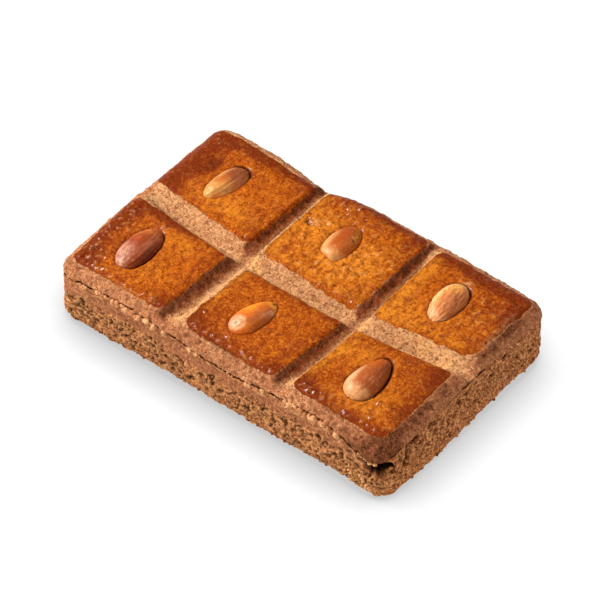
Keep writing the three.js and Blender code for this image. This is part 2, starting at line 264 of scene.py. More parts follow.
def seam_gap(x, y):
    wob = noise((x, y, x * 0), 7.5, 71) * 0.6 + noise((x, y, x * 0), 2.3, 72) * 0.5
    gap = np.clip(0.18 + 0.30 * wob, 0.03, 0.70) * (1 - 0.72 * smooth(74, 79, x) * smooth(-44, -37, y))
    gap = gap + 0.5 * np.exp(-(((x - 66) / 5.0) ** 2 + ((y + 50) / 6) ** 2))
    return gap * (1 - seam_shut(x, y)) + 0.035


def lip_inset(x, y):
    """How far in the top sheet's lower edge stands."""
    open_ = (1 - seam_shut(x, y)) * (1 - 0.6 * smooth(74, 79, x) * smooth(-44, -37, y))
    wob = 0.42 * noise((x, y, x * 0), 6.0, 73) + 0.42 * noise((x, y, x * 0), 1.9, 74)
    return 0.52 * (1 - open_) + (1.35 + wob) * open_


def shoulder_inset(x, y):
    """How far in the bottom layer's upper edge stands."""
    open_ = 1 - seam_shut(x, y)
    return 0.52 * (1 - open_) + (0.42 + 0.22 * noise((x, y, x * 0), 5.0, 75)) * open_


# ---------------------------------------------------------------- almonds in plan
def almond_local(a, x, y):
    t = math.radians(a["turn"])
    dx, dy = x - a["x"], y - a["y"]
    return math.cos(t) * dx + math.sin(t) * dy, -math.sin(t) * dx + math.cos(t) * dy


def almond_gap(a, lx, ly):
    """Signed distance (mm, first order) in plan from the almond's outline."""
    half = a["len"] / 2
    u = ly / half
    hw = a["wid"] / 2 * (1 - a["tip"] * np.clip(u, -1, 1))
    q = np.abs(lx) / hw
    f = q ** 1.923 + np.abs(u) ** 2.2
    fx = 1.923 * np.maximum(q, 0.02) ** 0.923 / hw
    fy = 2.2 * np.maximum(np.abs(u), 0.02) ** 1.2 / half
    dist = (f - 1) / np.sqrt(fx * fx + fy * fy)
    if a["cut"]:
        dist = np.maximum(dist, -half * (1 - a["cut"]) + a["slant"] * lx - ly)
    return dist


def almond_height(a):
    return CROWN - 0.5 + ALMOND_SINK + float(pillow(np.array(a["x"]), np.array(a["y"])))


# ---------------------------------------------------------------- glaze
# patch sides: left at (front, back), right at (front, back), front at (left, right), back at (left, right)
PATCHES = [
    dict(l=(-75.3, -78.3), r=(-30.8, -29.5), f=(-45.7, -46.0), b=(-4.2, -7.1)),
    dict(l=(-20.2, -19.3), r=(23.6, 26.3), f=(-46.2, -46.5), b=(-8.2, -8.2)),
    dict(l=(31.6, 32.4), r=(74.9, 74.3), f=(-46.0, -45.8), b=(-7.1, -2.2)),
    dict(l=(-78.2, -77.5), r=(-27.6, -27.2), f=(7.2, 1.8), b=(44.2, 44.6)),
    dict(l=(-20.9, -21.0), r=(25.8, 25.3), f=(1.6, 0.2), b=(46.6, 47.4)),
    dict(l=(31.8, 30.8), r=(74.2, 76.0), f=(2.0, 7.0), b=(46.4, 46.2)),
]


def glaze_distance(x, y):
    best = np.full(x.shape, -50.0)
    for s in PATCHES:
        ty = np.clip((y - s["f"][0]) / (s["b"][0] - s["f"][0]), 0, 1)
        tx = np.clip((x - s["l"][0]) / (s["r"][0] - s["l"][0]), 0, 1)
        a = np.minimum(x - (s["l"][0] + (s["l"][1] - s["l"][0]) * ty), (s["r"][0] + (s["r"][1] - s["r"][0]) * ty) - x)
        b = np.minimum(y - (s["f"][0] + (s["f"][1] - s["f"][0]) * tx), (s["b"][0] + (s["b"][1] - s["b"][0]) * tx) - y)
        r = 3.8
        round_in = r - np.sqrt(np.maximum(r - a, 0) ** 2 + np.maximum(r - b, 0) ** 2)
        best = np.maximum(best, np.where((a < r) & (b < r), round_in, np.minimum(a, b)))
    return best


# darker, redder places of the glaze: x, y, strength, spread in x, spread in y
BURNS = [
    (-62, 43.2, 1.5, 17, 3.0), (-73, 41, 1.1, 4.5, 4.5), (-38, 44.0, 0.6, 9, 2.5), (-70, 30, 0.20, 6, 12),
    (-76, -22, 0.8, 3.6, 16), (-72, -41, 1.0, 4.5, 4), (-57, -6.4, 1.15, 9, 2.2), (-73.5, -8.5, 0.95, 4.0, 4),
    (-67, -28, 0.30, 5, 10), (-52, -33, 0.25, 6, 5),
    (60, 43.8, 1.3, 15, 3.4), (74.5, 36, 0.9, 3.2, 9), (33, 45, 0.6, 9, 3), (2, 46.0, 0.5, 16, 2.6),
    (72.5, -6, 1.0, 3.2, 5), (71, -25, 0.62, 4.0, 12), (57, -45.0, 0.55, 18, 2.4), (34.5, -43, 1.1, 3.8, 4),
    (-18.0, -42, 0.9, 3, 4), (-5, -45.6, 0.35, 12, 1.8), (23, -43, 0.45, 4, 3), (-33, -43, 0.55, 4, 3), (12, -43, 0.15, 9, 3),
    (-28.5, 6, 0.4, 3, 4), (-66.5, 26, 0.45, 2.2, 4.0), (71, 12, 0.3, 3, 4), (-77, 14, 0.4, 2.5, 8), (66, 33, 0.45, 6, 7),
    (40, -36, 0.35, 5, 7), (64, -12, 0.3, 8, 5), (5, -32, 0.22, 18, 10), (0, 41, 0.28, 20, 6), (-73, 18, 1.0, 5, 14), (-8, -38, 0.25, 9, 6), (-17, -28, 0.2, 5, 12), (2, -10, 0.22, 18, 3),
]
# yellower, paler places of the glaze
WARMS = [
    (6, 17, 0.9, 13, 8), (-8, 30, 0.35, 8, 7), (40, 13, 0.5, 8, 6), (60, 20, 0.3, 8, 7), (45, -17, 0.45, 9, 6),
    (58, -38, 0.45, 9, 4), (62, -30, 0.4, 7, 5), (-47, -14, 0.4, 8, 5), (-48, -33, 0.4, 8, 6), (-44, 13, 0.5, 9, 5),
    (-58, 12, 0.3, 9, 4), (-14, 24.5, 0.6, 4, 4), (18, 30, 0.25, 6, 6), (34, 30, 0.2, 4, 8),
]
# little blisters near the sides of some squares: x, y, radius, height
BLISTERS = [
    (-71.6, -37.2, 1.3, 0.30), (-69.0, -40.2, 1.1, 0.26), (-65.8, -41.6, 1.4, 0.32), (-61.2, -42.8, 1.3, 0.28),
    (-68.3, -35.2, 1.1, 0.24), (-72.9, -31.5, 1.0, 0.22), (-49.2, -44.6, 1.8, 0.36), (-46.0, -44.9, 1.2, 0.28),
    (-40.5, -43.4, 1.4, 0.34), (-36.8, -43.6, 1.5, 0.36), (-74.4, -26.0, 1.2, 0.22), (-64.3, -37.6, 1.2, 0.2),
    (35.6, -42.2, 1.5, 0.34), (32.6, -40.2, 1.1, 0.26), (38.2, -43.9, 1.2, 0.26), (40.8, -43.2, 1.2, 0.24),
    (-12.2, 41.4, 1.3, 0.30), (-9.0, 40.4, 1.4, 0.34), (-5.1, 42.6, 1.3, 0.30), (-7.2, 38.0, 1.2, 0.22),
    (0.6, 43.4, 1.3, 0.30), (5.6, 42.4, 1.1, 0.22), (-15.4, 39.5, 1.1, 0.2), (62.8, -33.6, 1.3, 0.26),
    (65.5, -36.6, 1.2, 0.22), (59.0, -36.0, 1.0, 0.18), (68.2, -33.0, 1.1, 0.2), (63.6, -40.2, 1.2, 0.2),
    (-6.8, -44.0, 1.4, 0.26), (-3.6, -44.9, 1.2, 0.24), (9.0, -44.6, 1.2, 0.2), (-17.0, -36.5, 1.2, 0.24),
]


def lid_fields(x, y, z, d):
    """Glaze, burnt places and so on, with painted light and shade among them, at points of the top sheet, and the
    relief that goes with them (mm).
    """
    flat = (x, y, x * 0)
    p = (x, y, z)
    edge = glaze_distance(x, y) + 0.50 * noise(flat, 5.2, 41) + 0.34 * noise(flat, 1.9, 42) + 0.18 * noise(flat, 0.9, 43)
    glaze = smooth(-0.50, 0.50, edge)
    burn_and_shade = 0.22 * (1 - smooth(4.5, 11, d)) + 0.14 * noise(flat, 9, 44)
    burn_and_shade = burn_and_shade + 0.26 * (1 - smooth(0.5, 8.0, edge)) + 0.34 * (1 - smooth(6, 26, x + HX)) * (1 - smooth(10, 30, y) * 0.3)
    warm = 0.16 * noise(flat, 7, 45)
    lit = np.zeros(x.shape)
    # along the grooves: the glaze redder just left of each short groove; the wall on the right, which faces the key
    # light, gets painted light, the dough there paler (lit) and the glaze just beyond it warmer
    for g, front_at, back_at in ((SHORTS[0], 3.5, 2.3), (SHORTS[1], 2.3, 2.2)):
        o = x - short_mid(g, y)
        at = front_at + (back_at - front_at) * smooth(-10, 6, y)
        here = smooth(1.0, 4.5, np.abs(y - long_mid(x)))
        burn_and_shade = burn_and_shade + 0.30 * np.exp(-(((o + 7.5) / 3.0) ** 2)) * here
        warm = warm + 1.15 * np.exp(-(((o - at - 2.4) / 2.8) ** 2)) * here
        reach = smooth(47.5, 43.0, np.abs(y)) * (0.72 + 0.28 * noise(flat, 3.4, 59))
        lit = np.maximum(lit, np.exp(-(((o - at) / np.where(o < at, 2.3, 3.2)) ** 2)) * reach)
    # pools of painted light in the long groove, where the short grooves meet it and towards its right end
    for (cx, cy, r) in ((-19.6, -3.2, 4.7), (31.6, -2.6, 4.4), (66.5, 0.9, 8.5), (55.5, 3.4, 8.0)):
        lit = np.maximum(lit, 0.85 * np.exp(-(((x - cx) / r) ** 2 + ((y - cy) / (0.8 * r)) ** 2)) * (0.8 + 0.35 * noise(flat, 2.6, 80)))
    o = y - long_mid(x)
    burn_and_shade = burn_and_shade + 0.34 * np.exp(-(((o + 6.5) / 3.2) ** 2))
    warm = warm + 0.45 * np.exp(-(((o - 8.0) / 2.6) ** 2)) * smooth(-32, -12, x)
    for g in BURNS:
        burn_and_shade = burn_and_shade + 1.42 * bell(g, x, y)
    for g in WARMS:
        warm = warm + bell(g, x, y)
    burn_and_shade = burn_and_shade + 0.26 * (1 - smooth(0.0, 1.8, edge)) * glaze
    # how dark the recesses are painted, as painted shade: cracks, pores, pits, creases and gaps
    hole_shade = np.zeros(x.shape)
    pale = np.zeros(x.shape)

    side = 1 - smooth(2.2, 5.0, d)
    relief = 0.22 * fbm(p, 17, 11, 2) + 0.13 * fbm(p, 6.5, 12, 2)
    skin = (0.20 * fbm(p, 2.6, 13, 2) + 0.12 * noise(p, 1.35, 14)) * smooth(-0.5, 2.6, edge) + 0.12 * smooth(-0.5, 3.2, edge) + 0.03
    dough = 0.24 * fbm(p, 3.4, 15, 2) + 0.24 * noise(p, 1.45, 16)
    fore = smooth(-42, -47, y)
    dough = dough + side * (0.35 + 0.65 * fore) * (0.26 * (1 - 2 * np.abs(noise((x, y, z * 3.4), 5.0, 17))) + 0.24 * noise(p, 2.3, 58))
    flank = smooth(74.5, 77.5, x) * (1 - glaze)
    dough = dough + flank * (0.30 * noise((x, y, z * 1.3), 1.9, 81) - 0.5 * smooth(0.0, 0.5, face_spots(y + 0.5 * noise(p, 2.2, 67), z + 0.25 * y, (2.1, 1.6), 26, 0.55, 0.14, 0.34)))
    # in the long groove the crumb is pulled out lengthwise
    run = smooth(7.5, 4.5, np.abs(y - long_mid(x)))
    pulled = np.abs(noise((x, y, z), (4.6, 1.25, 1.6), 53))
    dough = dough + run * (0.30 * np.clip(pulled, 0, 0.6) - 0.10)
    relief = relief + glaze * skin + (1 - glaze) * dough
    # cracks along the long groove, painted dark as painted shade
    line = (1 - smooth(0.0, 0.08, np.abs(noise((x, y, z), (6.5, 1.9, 2.4), 54)))) * run * (1 - glaze)
    line = line * smooth(-0.1, 0.35, noise((x, y, z), 7.0, 57))
    relief = relief - 0.30 * line
    hole_shade = np.maximum(hole_shade, 0.5 * line)
    # pores of the bare dough, more of them in the grooves than on the side, painted dark as painted shade
    pore = spots(p, (2.1, 1.5, 1.7), 18, 0.24, 0.14, 0.34)
    pore = smooth(0.0, 0.5, pore) * (1 - glaze) * (1 - 0.35 * side)
    relief = relief - 0.50 * pore
    hole_shade = np.maximum(hole_shade, 0.55 * pore)
    # coarse pores at the left end of the long groove, painted dark as painted shade
    for (cx, cy, r, deep) in [(-68.8, -2.6, 1.5, 1.0), (-66.2, -3.3, 1.2, 0.9), (-63.4, -4.2, 1.4, 0.9), (-71.6, -1.2, 0.9, 0.6),
                              (-60.4, -1.6, 0.8, 0.5), (-70.4, -4.6, 0.8, 0.5), (48.4, -1.4, 0.9, 0.7), (49.6, 0.8, 0.6, 0.5),
                              (-46.5, -5.2, 0.8, 0.5), (12.0, -4.0, 0.8, 0.5), (63.0, 1.6, 0.9, 0.5), (-31.0, 3.4, 1.0, 0.6)]:
        q = np.sqrt((x - cx) ** 2 + ((y - cy) * 1.5) ** 2) / r + 0.35 * noise(flat, 1.1, 46)
        m = 1 - smooth(0.35, 1.1, q)
        relief = relief - deep * m
        hole_shade = np.maximum(hole_shade, m)
    # the open pit in the fifth square, painted dark as painted shade
    q = np.sqrt(((x + 17.2 + 0.5 * (y - 25.4)) / 1.0) ** 2 + ((y - 25.4) / 1.7) ** 2) + 0.75 * noise(flat, 1.5, 47)
    m = 1 - smooth(0.35, 1.0, q)
    relief = relief - 1.3 * m
    hole_shade = np.maximum(hole_shade, m)
    torn = np.exp(-(((x + 14.9) / 1.9) ** 2 + ((y - 26.6) / 1.7) ** 2)) * smooth(-0.25, 0.35, noise(flat, 1.1, 60))
    relief = relief + 0.35 * torn
    pale = pale + 0.8 * torn
    # blisters, each with a painted highlight on its near slope
    for (bx, by, r, high) in BLISTERS:
        q2 = ((x - bx) ** 2 + (y - by) ** 2) / (r * r)
        m = np.where(q2 < 1, (1 - q2) ** 2, 0)
        relief = relief + 2.3 * high * m * smooth(0.0, 1.6, edge)
        pale = pale + 0.30 * m * smooth(0.1, -0.7, (y - by) / r)
    fine = spots(flat, 2.4, 19, 0.5, 0.3, 0.55)
    inner = smooth(0.4, 1.8, edge)
    relief = relief + 0.18 * smooth(0, 1, fine) * inner * (1 - smooth(6, 14, d)) * smooth(-0.1, 0.5, noise(flat, 7.0, 78))
    # a scatter of little glossy beads, most of them towards the near and left edges, each painted paler as a painted
    # glint
    fine = spots(flat, 2.3, 79, 0.50, 0.13, 0.34)
    fore_left = np.maximum(1 - smooth(4, 15, x + HX), 1 - smooth(3, 13, y + HY))
    back_row = np.exp(-(((x + 5) / 16) ** 2 + ((y - 41) / 4.5) ** 2)) + np.exp(-(((x - 62) / 6) ** 2 + ((y + 36) / 5) ** 2)) + 0.25
    back_row = back_row + 0.40 * np.exp(-(((x - 6) / 18) ** 2 + ((y - 16) / 11) ** 2))
    bead = smooth(0, 0.6, fine) * smooth(0.7, 3.0, edge + 0.9 * noise(flat, 3.0, 84)) * np.clip(fore_left + back_row, 0, 1)
    relief = relief + 0.62 * bead
    pale = pale + 0.45 * smooth(0.35, 0.8, bead)
    for (bx, by, r, high) in BLISTERS:
        bead = np.maximum(bead, 1.2 * np.clip(1 - ((x - bx) ** 2 + (y - by) ** 2) / (r * r), 0, 1) * inner)
    # coarser, lumpy skin in some places: the raised lumps painted paler and warmer as painted highlights, the hollows
    # between them painted darker as painted shade
    coarse = np.clip(1 - smooth(5, 20, x + HX), 0, 1) * smooth(6, -4, y) + 0.8 * (1 - smooth(3, 13, y + HY)) + np.exp(-(((x - 2) / 24) ** 2 + ((y - 20) / 20) ** 2))
    coarse = np.clip(coarse + 0.7 * np.exp(-(((x - 64) / 9) ** 2 + ((y - 26) / 12) ** 2)) + 0.12, 0, 1) * inner
    lump = noise((x, y, x * 0), 2.2, 85) + 0.45 * noise((x, y, x * 0), 1.1, 86)
    relief = relief + 0.40 * coarse * lump
    pale = pale + 0.36 * coarse * smooth(0.30, 0.85, lump)
    warm = warm + 0.75 * coarse * smooth(0.10, 0.70, lump)
    # painted shade: darker glaze in the hollows between the lumps
    burn_and_shade = burn_and_shade + 0.75 * coarse * smooth(0.10, 0.70, -lump)
    # wrinkled skin beside the dented fourth almond, and the glossy dent itself; the wrinkles painted dark as painted
    # shade
    dent = np.exp(-(((x + 64.2) / 2.6) ** 2 + ((y - 26.6) / 5.2) ** 2))
    relief = relief - 0.85 * dent + 0.34 * dent * noise((x, y * 0.55, x * 0), 1.25, 48)
    burn_and_shade = burn_and_shade + 0.75 * dent
    hole_shade = np.maximum(hole_shade, 0.55 * dent * smooth(0.0, 0.45, noise((x, y * 0.6, x * 0), 1.7, 62)))
    # worn, cracked strip along the right side of the sixth square
    strip = np.exp(-(((x - 74.2) / 0.9) ** 2)) * smooth(12, 17, y) * (1 - smooth(33, 37, y))
    crack = strip * (0.5 + 0.9 * noise(flat, 1.6, 49))
    relief = relief + 0.30 * crack
    pale = pale + 0.42 * np.clip(crack, 0, 1)
    # fold above the sixth almond
    fold = np.exp(-(((x - 50.4) * 0.55 - (y - 36.8) * 0.83) / 0.75) ** 2 - (((x - 50.4) * 0.83 + (y - 36.8) * 0.55) / 1.9) ** 2)
    relief = relief + 0.45 * fold
    pale = pale + 0.9 * fold
    # fine cracks in the glaze right of the sixth almond
    lines = 1 - smooth(0.0, 0.16, np.abs(noise(flat, 4.4, 50)))
    area = np.exp(-(((x - 66) / 6.5) ** 2 + ((y - 30) / 8) ** 2)) + 0.8 * np.exp(-(((x + 58) / 5) ** 2 + ((y + 9) / 2.4) ** 2))
    relief = relief - 0.30 * lines * area * glaze
    burn_and_shade = burn_and_shade + 0.6 * lines * area
    # the crease between glaze and side along the front of the second square, painted dark as painted shade
    crease = np.exp(-((y + 46.3 + 0.3 * noise(flat, 4, 51)) / 0.5) ** 2) * (np.exp(-((x + 1) / 9) ** 2) + 0.8 * np.exp(-((x - 47) / 12) ** 2) + 0.4)
    crease = crease * smooth(0.0, 0.5, noise(flat, 6.0, 52) + 0.45)
    relief = relief - 0.26 * crease
    hole_shade = np.maximum(hole_shade, 0.5 * np.clip(crease, 0, 1))
    # grit pits on the near edge of the sheet, painted dark as painted shade
    grit = smooth(0.12, 0.5, noise(p, 1.9, 63)) * side * fore
    relief = relief - 0.30 * grit * (1 - glaze)
    hole_shade = np.maximum(hole_shade, 0.45 * grit * (1 - glaze))
    return dict(glaze=glaze, burn_and_shade=burn_and_shade, warm=warm, hole_shade=hole_shade, pale=pale, side=side, relief=relief, edge=edge, lit=lit, bead=bead)


def press_almonds(x, y, z, f):
    """Sinks the surface under each almond and raises it a little around; returns the new height and paints shade into
    the gaps.
    """
    flat = (x, y, x * 0)
    for k, a in enumerate(ALMONDS):
        near = (np.abs(x - a["x"]) < 22) & (np.abs(y - a["y"]) < 22)
        if not near.any():
            continue
        lx, ly = almond_local(a, x[near], y[near])
        dist = almond_gap(a, lx, ly)
        fl = tuple(c[near] for c in flat)
        wob = 0.14 * noise(fl, 2.2, 61 + k)
        # the gap is widest on the far side of the press, to the right and behind
        open_ = GAPS[k][0] + GAPS[k][1] * smooth(-0.2, 1.0, lx / (a["wid"] / 2)) + GAPS[k][2] * smooth(0.5, 1.0, ly * GAPS[k][3] / (a["len"] / 2))
        q = dist + wob - open_
        half = a["len"] / 2
        u = np.clip(ly / half, -0.999, 0.999)
        prof = (1 - np.abs(u) ** 2.2) ** 0.52 * (1 - a["tip"] * u)
        s = np.clip(1 - np.clip(np.abs(lx) / np.maximum(a["wid"] / 2 * prof, 0.3), 0, 1) ** 2, 0, 1) ** 0.55
        bottom = almond_height(a) - 0.55 - (a["thk"] / 2 + 0.1) * prof * s
        lip = z[near] + 0.24 * np.exp(-((q - 1.7) / 1.3) ** 2) * (0.7 + 0.6 * noise(fl, 3.2, 81 + k))
        lip = lip - 0.5 * np.exp(-np.clip(q, 0, None) / 0.35)
        mix = smooth(-0.55, 0.05, q)
        z[near] = bottom * (1 - mix) + lip * mix
        shade = smooth(-0.12, 0.25, open_)
        f["hole_shade"][near] = np.maximum(f["hole_shade"][near], (0.25 + 0.65 * shade) * (1 - smooth(-0.1, 0.12 + 0.3 * shade, q)))
        f["burn_and_shade"][near] += 0.35 * np.exp(-np.clip(q, 0, None) / 0.8)
        # wrinkles fan out from the ends of some almonds
        ends = np.exp(-((ly * WRINKLE[k][1] - half - 1.6) / 1.8) ** 2 - (lx / 3.2) ** 2) * WRINKLE[k][0]
        z[near] += ends * 0.34 * noise((lx * 1.0, ly * 0.4, lx * 0), 1.35, 91 + k) + 0.06 * ends
        f["pale"][near] += 0.35 * ends * smooth(0.0, 0.6, noise((lx, ly * 0.4, lx * 0), 1.35, 91 + k))
    return z


# gap round each almond: everywhere, extra on its right, extra at one end, which end (1 is the +Y local end)
GAPS = [(-0.22, 0.62, 0.25, 1), (-0.25, 0.45, 0.25, 1), (-0.22, 1.05, 0.35, 1), (-0.15, -0.05, 0.9, -1), (-0.28, 0.30, 0.1, 1), (-0.22, 0.62, 0.45, 1)]
# strength of the wrinkles at an end, and which end
WRINKLE = [(1.0, 1), (0.4, -1), (0.3, -1), (0.8, -1), (0.6, 1), (0.3, -1)]


# ---------------------------------------------------------------- mesh building
def make_object(name, verts_mm, faces, attrs, uv, mats, material_of=None, smooth_shade=True):
    me = bpy.data.meshes.new(name)
    sizes = [len(f) for f in faces]
    loops = np.concatenate([f.reshape(-1) for f in faces]).astype(np.int32)
    counts = np.concatenate([np.full(len(f), f.shape[1], np.int32) for f in faces])
    starts = np.concatenate([[0], np.cumsum(counts)[:-1]]).astype(np.int32)
    me.vertices.add(len(verts_mm))
    me.vertices.foreach_set("co", (verts_mm * MM).astype(np.float32).ravel())
    me.loops.add(len(loops))
    me.loops.foreach_set("vertex_index", loops)
    me.polygons.add(sum(sizes))
    me.polygons.foreach_set("loop_start", starts)
    me.polygons.foreach_set("loop_total", counts)
    if smooth_shade:
        me.polygons.foreach_set("use_smooth", np.ones(len(counts), bool))
    me.update(calc_edges=True)
    for key, val in attrs.items():
        if val.ndim == 1:
            at = me.attributes.new(key, "FLOAT", "POINT")
            at.data.foreach_set("value", val.astype(np.float32))
        else:
            at = me.attributes.new(key, "FLOAT_COLOR", "POINT")
            rgba = np.concatenate([val, np.ones((len(val), 1))], 1)
            at.data.foreach_set("color", rgba.astype(np.float32).ravel())
    if uv is not None:
        layer = me.uv_layers.new(name="OFBake", do_init=False)
        layer.uv.foreach_set("vector", uv.astype(np.float32).ravel())
    for m in mats:
        me.materials.append(m)
    if material_of is not None:
        me.polygons.foreach_set("material_index", material_of.astype(np.int32))
    me.validate()
    ob = bpy.data.objects.new(name, me)
    bpy.context.scene.collection.objects.link(ob)
    return ob


def normals_of(v, faces):
    out = np.zeros_like(v)
    for f in faces:
        a, b, c = v[f[:, 0]], v[f[:, 1]], v[f[:, 2]]
        n = np.cross(b - a, c - a)
        if f.shape[1] == 4:
            n = n + np.cross(c - a, v[f[:, 3]] - a)
        for k in range(f.shape[1]):
            for j in range(3):
                out[:, j] += np.bincount(f[:, k], n[:, j], len(v))
    return out / np.maximum(np.linalg.norm(out, axis=1, keepdims=True), 1e-12)


def side_lines(half, step, rise=5.2):
    """Positions along one axis, spaced evenly over the rolled-over edge as it is in the air."""
    d = half * np.linspace(0, 1, 6000) ** 2.2
    t = np.clip(d / EDGE_RUN, 0, 1)
    h = rise * (1 - (1 - t) ** EDGE_POW) ** (1 / EDGE_POW)
    s = np.concatenate([[0], np.cumsum(np.hypot(np.diff(d), np.diff(h)))])
    n = int(round(s[-1] / step))
    pos = np.interp(np.linspace(0, s[-1], n + 1), s, d)
    return np.concatenate([-half + pos, (half - pos)[::-1][1:]])


def border_index(nx, ny):
    i = np.concatenate([np.arange(nx - 1), np.full(ny - 1, nx - 1), np.arange(nx - 1, 0, -1), np.zeros(ny - 1, int)])
    j = np.concatenate([np.zeros(nx - 1, int), np.arange(ny - 1), np.full(nx - 1, ny - 1), np.arange(ny - 1, 0, -1)])
    return i, j


def ring_quads(upper, lower):
    k = np.arange(len(upper))
    n = (k + 1) % len(upper)
    return np.stack([upper[k], lower[k], lower[n], upper[n]], 1)


# ---------------------------------------------------------------- materials
class Tree:
    """Short calls for building a node material. Lengths in the nodes are in mm."""

    def __init__(self, name):
        self.mat = bpy.data.materials.new(name)
        self.mat.use_nodes = True
        self.t = self.mat.node_tree
        self.t.nodes.clear()
        self.out = self.t.nodes.new("ShaderNodeOutputMaterial")
        self.bsdf = self.t.nodes.new("ShaderNodeBsdfPrincipled")
        self.t.links.new(self.bsdf.outputs[0], self.out.inputs[0])
        co = self.t.nodes.new("ShaderNodeTexCoord")
        mul = self.t.nodes.new("ShaderNodeVectorMath")
        mul.operation = "MULTIPLY"
        self.t.links.new(co.outputs["Object"], mul.inputs[0])
        mul.inputs[1].default_value = (1000, 1000, 1000)
        self.mm = mul.outputs[0]

    def put(self, socket, value):
        if isinstance(value, bpy.types.NodeSocket):
            self.t.links.new(value, socket)
        else:
            socket.default_value = value

    def attr(self, name, colour=False):
        n = self.t.nodes.new("ShaderNodeAttribute")
        n.attribute_type = "GEOMETRY"
        n.attribute_name = name
        return n.outputs["Color" if colour else "Fac"]

    def math(self, op, a, b=0.0, c=None, clamp=False):
        n = self.t.nodes.new("ShaderNodeMath")
        n.operation = op
        n.use_clamp = clamp
        self.put(n.inputs[0], a)
        self.put(n.inputs[1], b)
        if c is not None:
            self.put(n.inputs[2], c)
        return n.outputs[0]

    def stretch(self, scale):
        n = self.t.nodes.new("ShaderNodeVectorMath")
        n.operation = "MULTIPLY"
        self.put(n.inputs[0], self.mm)
        n.inputs[1].default_value = scale
        return n.outputs[0]

    def noise(self, size, detail=2.0, rough=0.5, vector=None, distortion=0.0):
        n = self.t.nodes.new("ShaderNodeTexNoise")
        n.noise_dimensions = "3D"
        self.put(n.inputs["Vector"], vector if vector is not None else self.mm)
        n.inputs["Scale"].default_value = 1.0 / size
        n.inputs["Detail"].default_value = detail
        n.inputs["Roughness"].default_value = rough
        n.inputs["Distortion"].default_value = distortion
        return n.outputs["Fac"]

    def cells(self, size, feature="F1", vector=None, randomness=1.0):
        n = self.t.nodes.new("ShaderNodeTexVoronoi")
        n.feature = feature
        self.put(n.inputs["Vector"], vector if vector is not None else self.mm)
        n.inputs["Scale"].default_value = 1.0 / size
        n.inputs["Randomness"].default_value = randomness
        return n.outputs["Distance"]

    def span(self, v, lo, hi, to_lo=0.0, to_hi=1.0, kind="SMOOTHSTEP"):
        n = self.t.nodes.new("ShaderNodeMapRange")
        n.interpolation_type = kind
        n.clamp = True
        self.put(n.inputs["Value"], v)
        n.inputs["From Min"].default_value = lo
        n.inputs["From Max"].default_value = hi
        n.inputs["To Min"].default_value = to_lo
        n.inputs["To Max"].default_value = to_hi
        return n.outputs["Result"]

    def mix(self, fac, a, b, blend="MIX"):
        n = self.t.nodes.new("ShaderNodeMix")
        n.data_type = "RGBA"
        n.blend_type = blend
        n.clamp_factor = True
        self.put(n.inputs[0], fac)
        self.put(n.inputs[6], a if isinstance(a, bpy.types.NodeSocket) else (*a, 1.0))
        self.put(n.inputs[7], b if isinstance(b, bpy.types.NodeSocket) else (*b, 1.0))
        return n.outputs[2]

    def bump(self, height, strength=1.0, normal=None):
        n = self.t.nodes.new("ShaderNodeBump")
        n.inputs["Strength"].default_value = strength
        n.inputs["Distance"].default_value = MM
        self.put(n.inputs["Height"], height)
        if normal is not None:
            self.put(n.inputs["Normal"], normal)
        return n.outputs[0]

    def finish(self, colour, rough, normal, **plain):
        self.put(self.bsdf.inputs["Base Color"], colour)
        self.put(self.bsdf.inputs["Roughness"], rough)
        self.put(self.bsdf.inputs["Normal"], normal)
        for key, val in plain.items():
            self.bsdf.inputs[key.replace("_", " ")].default_value = val
        return self.mat


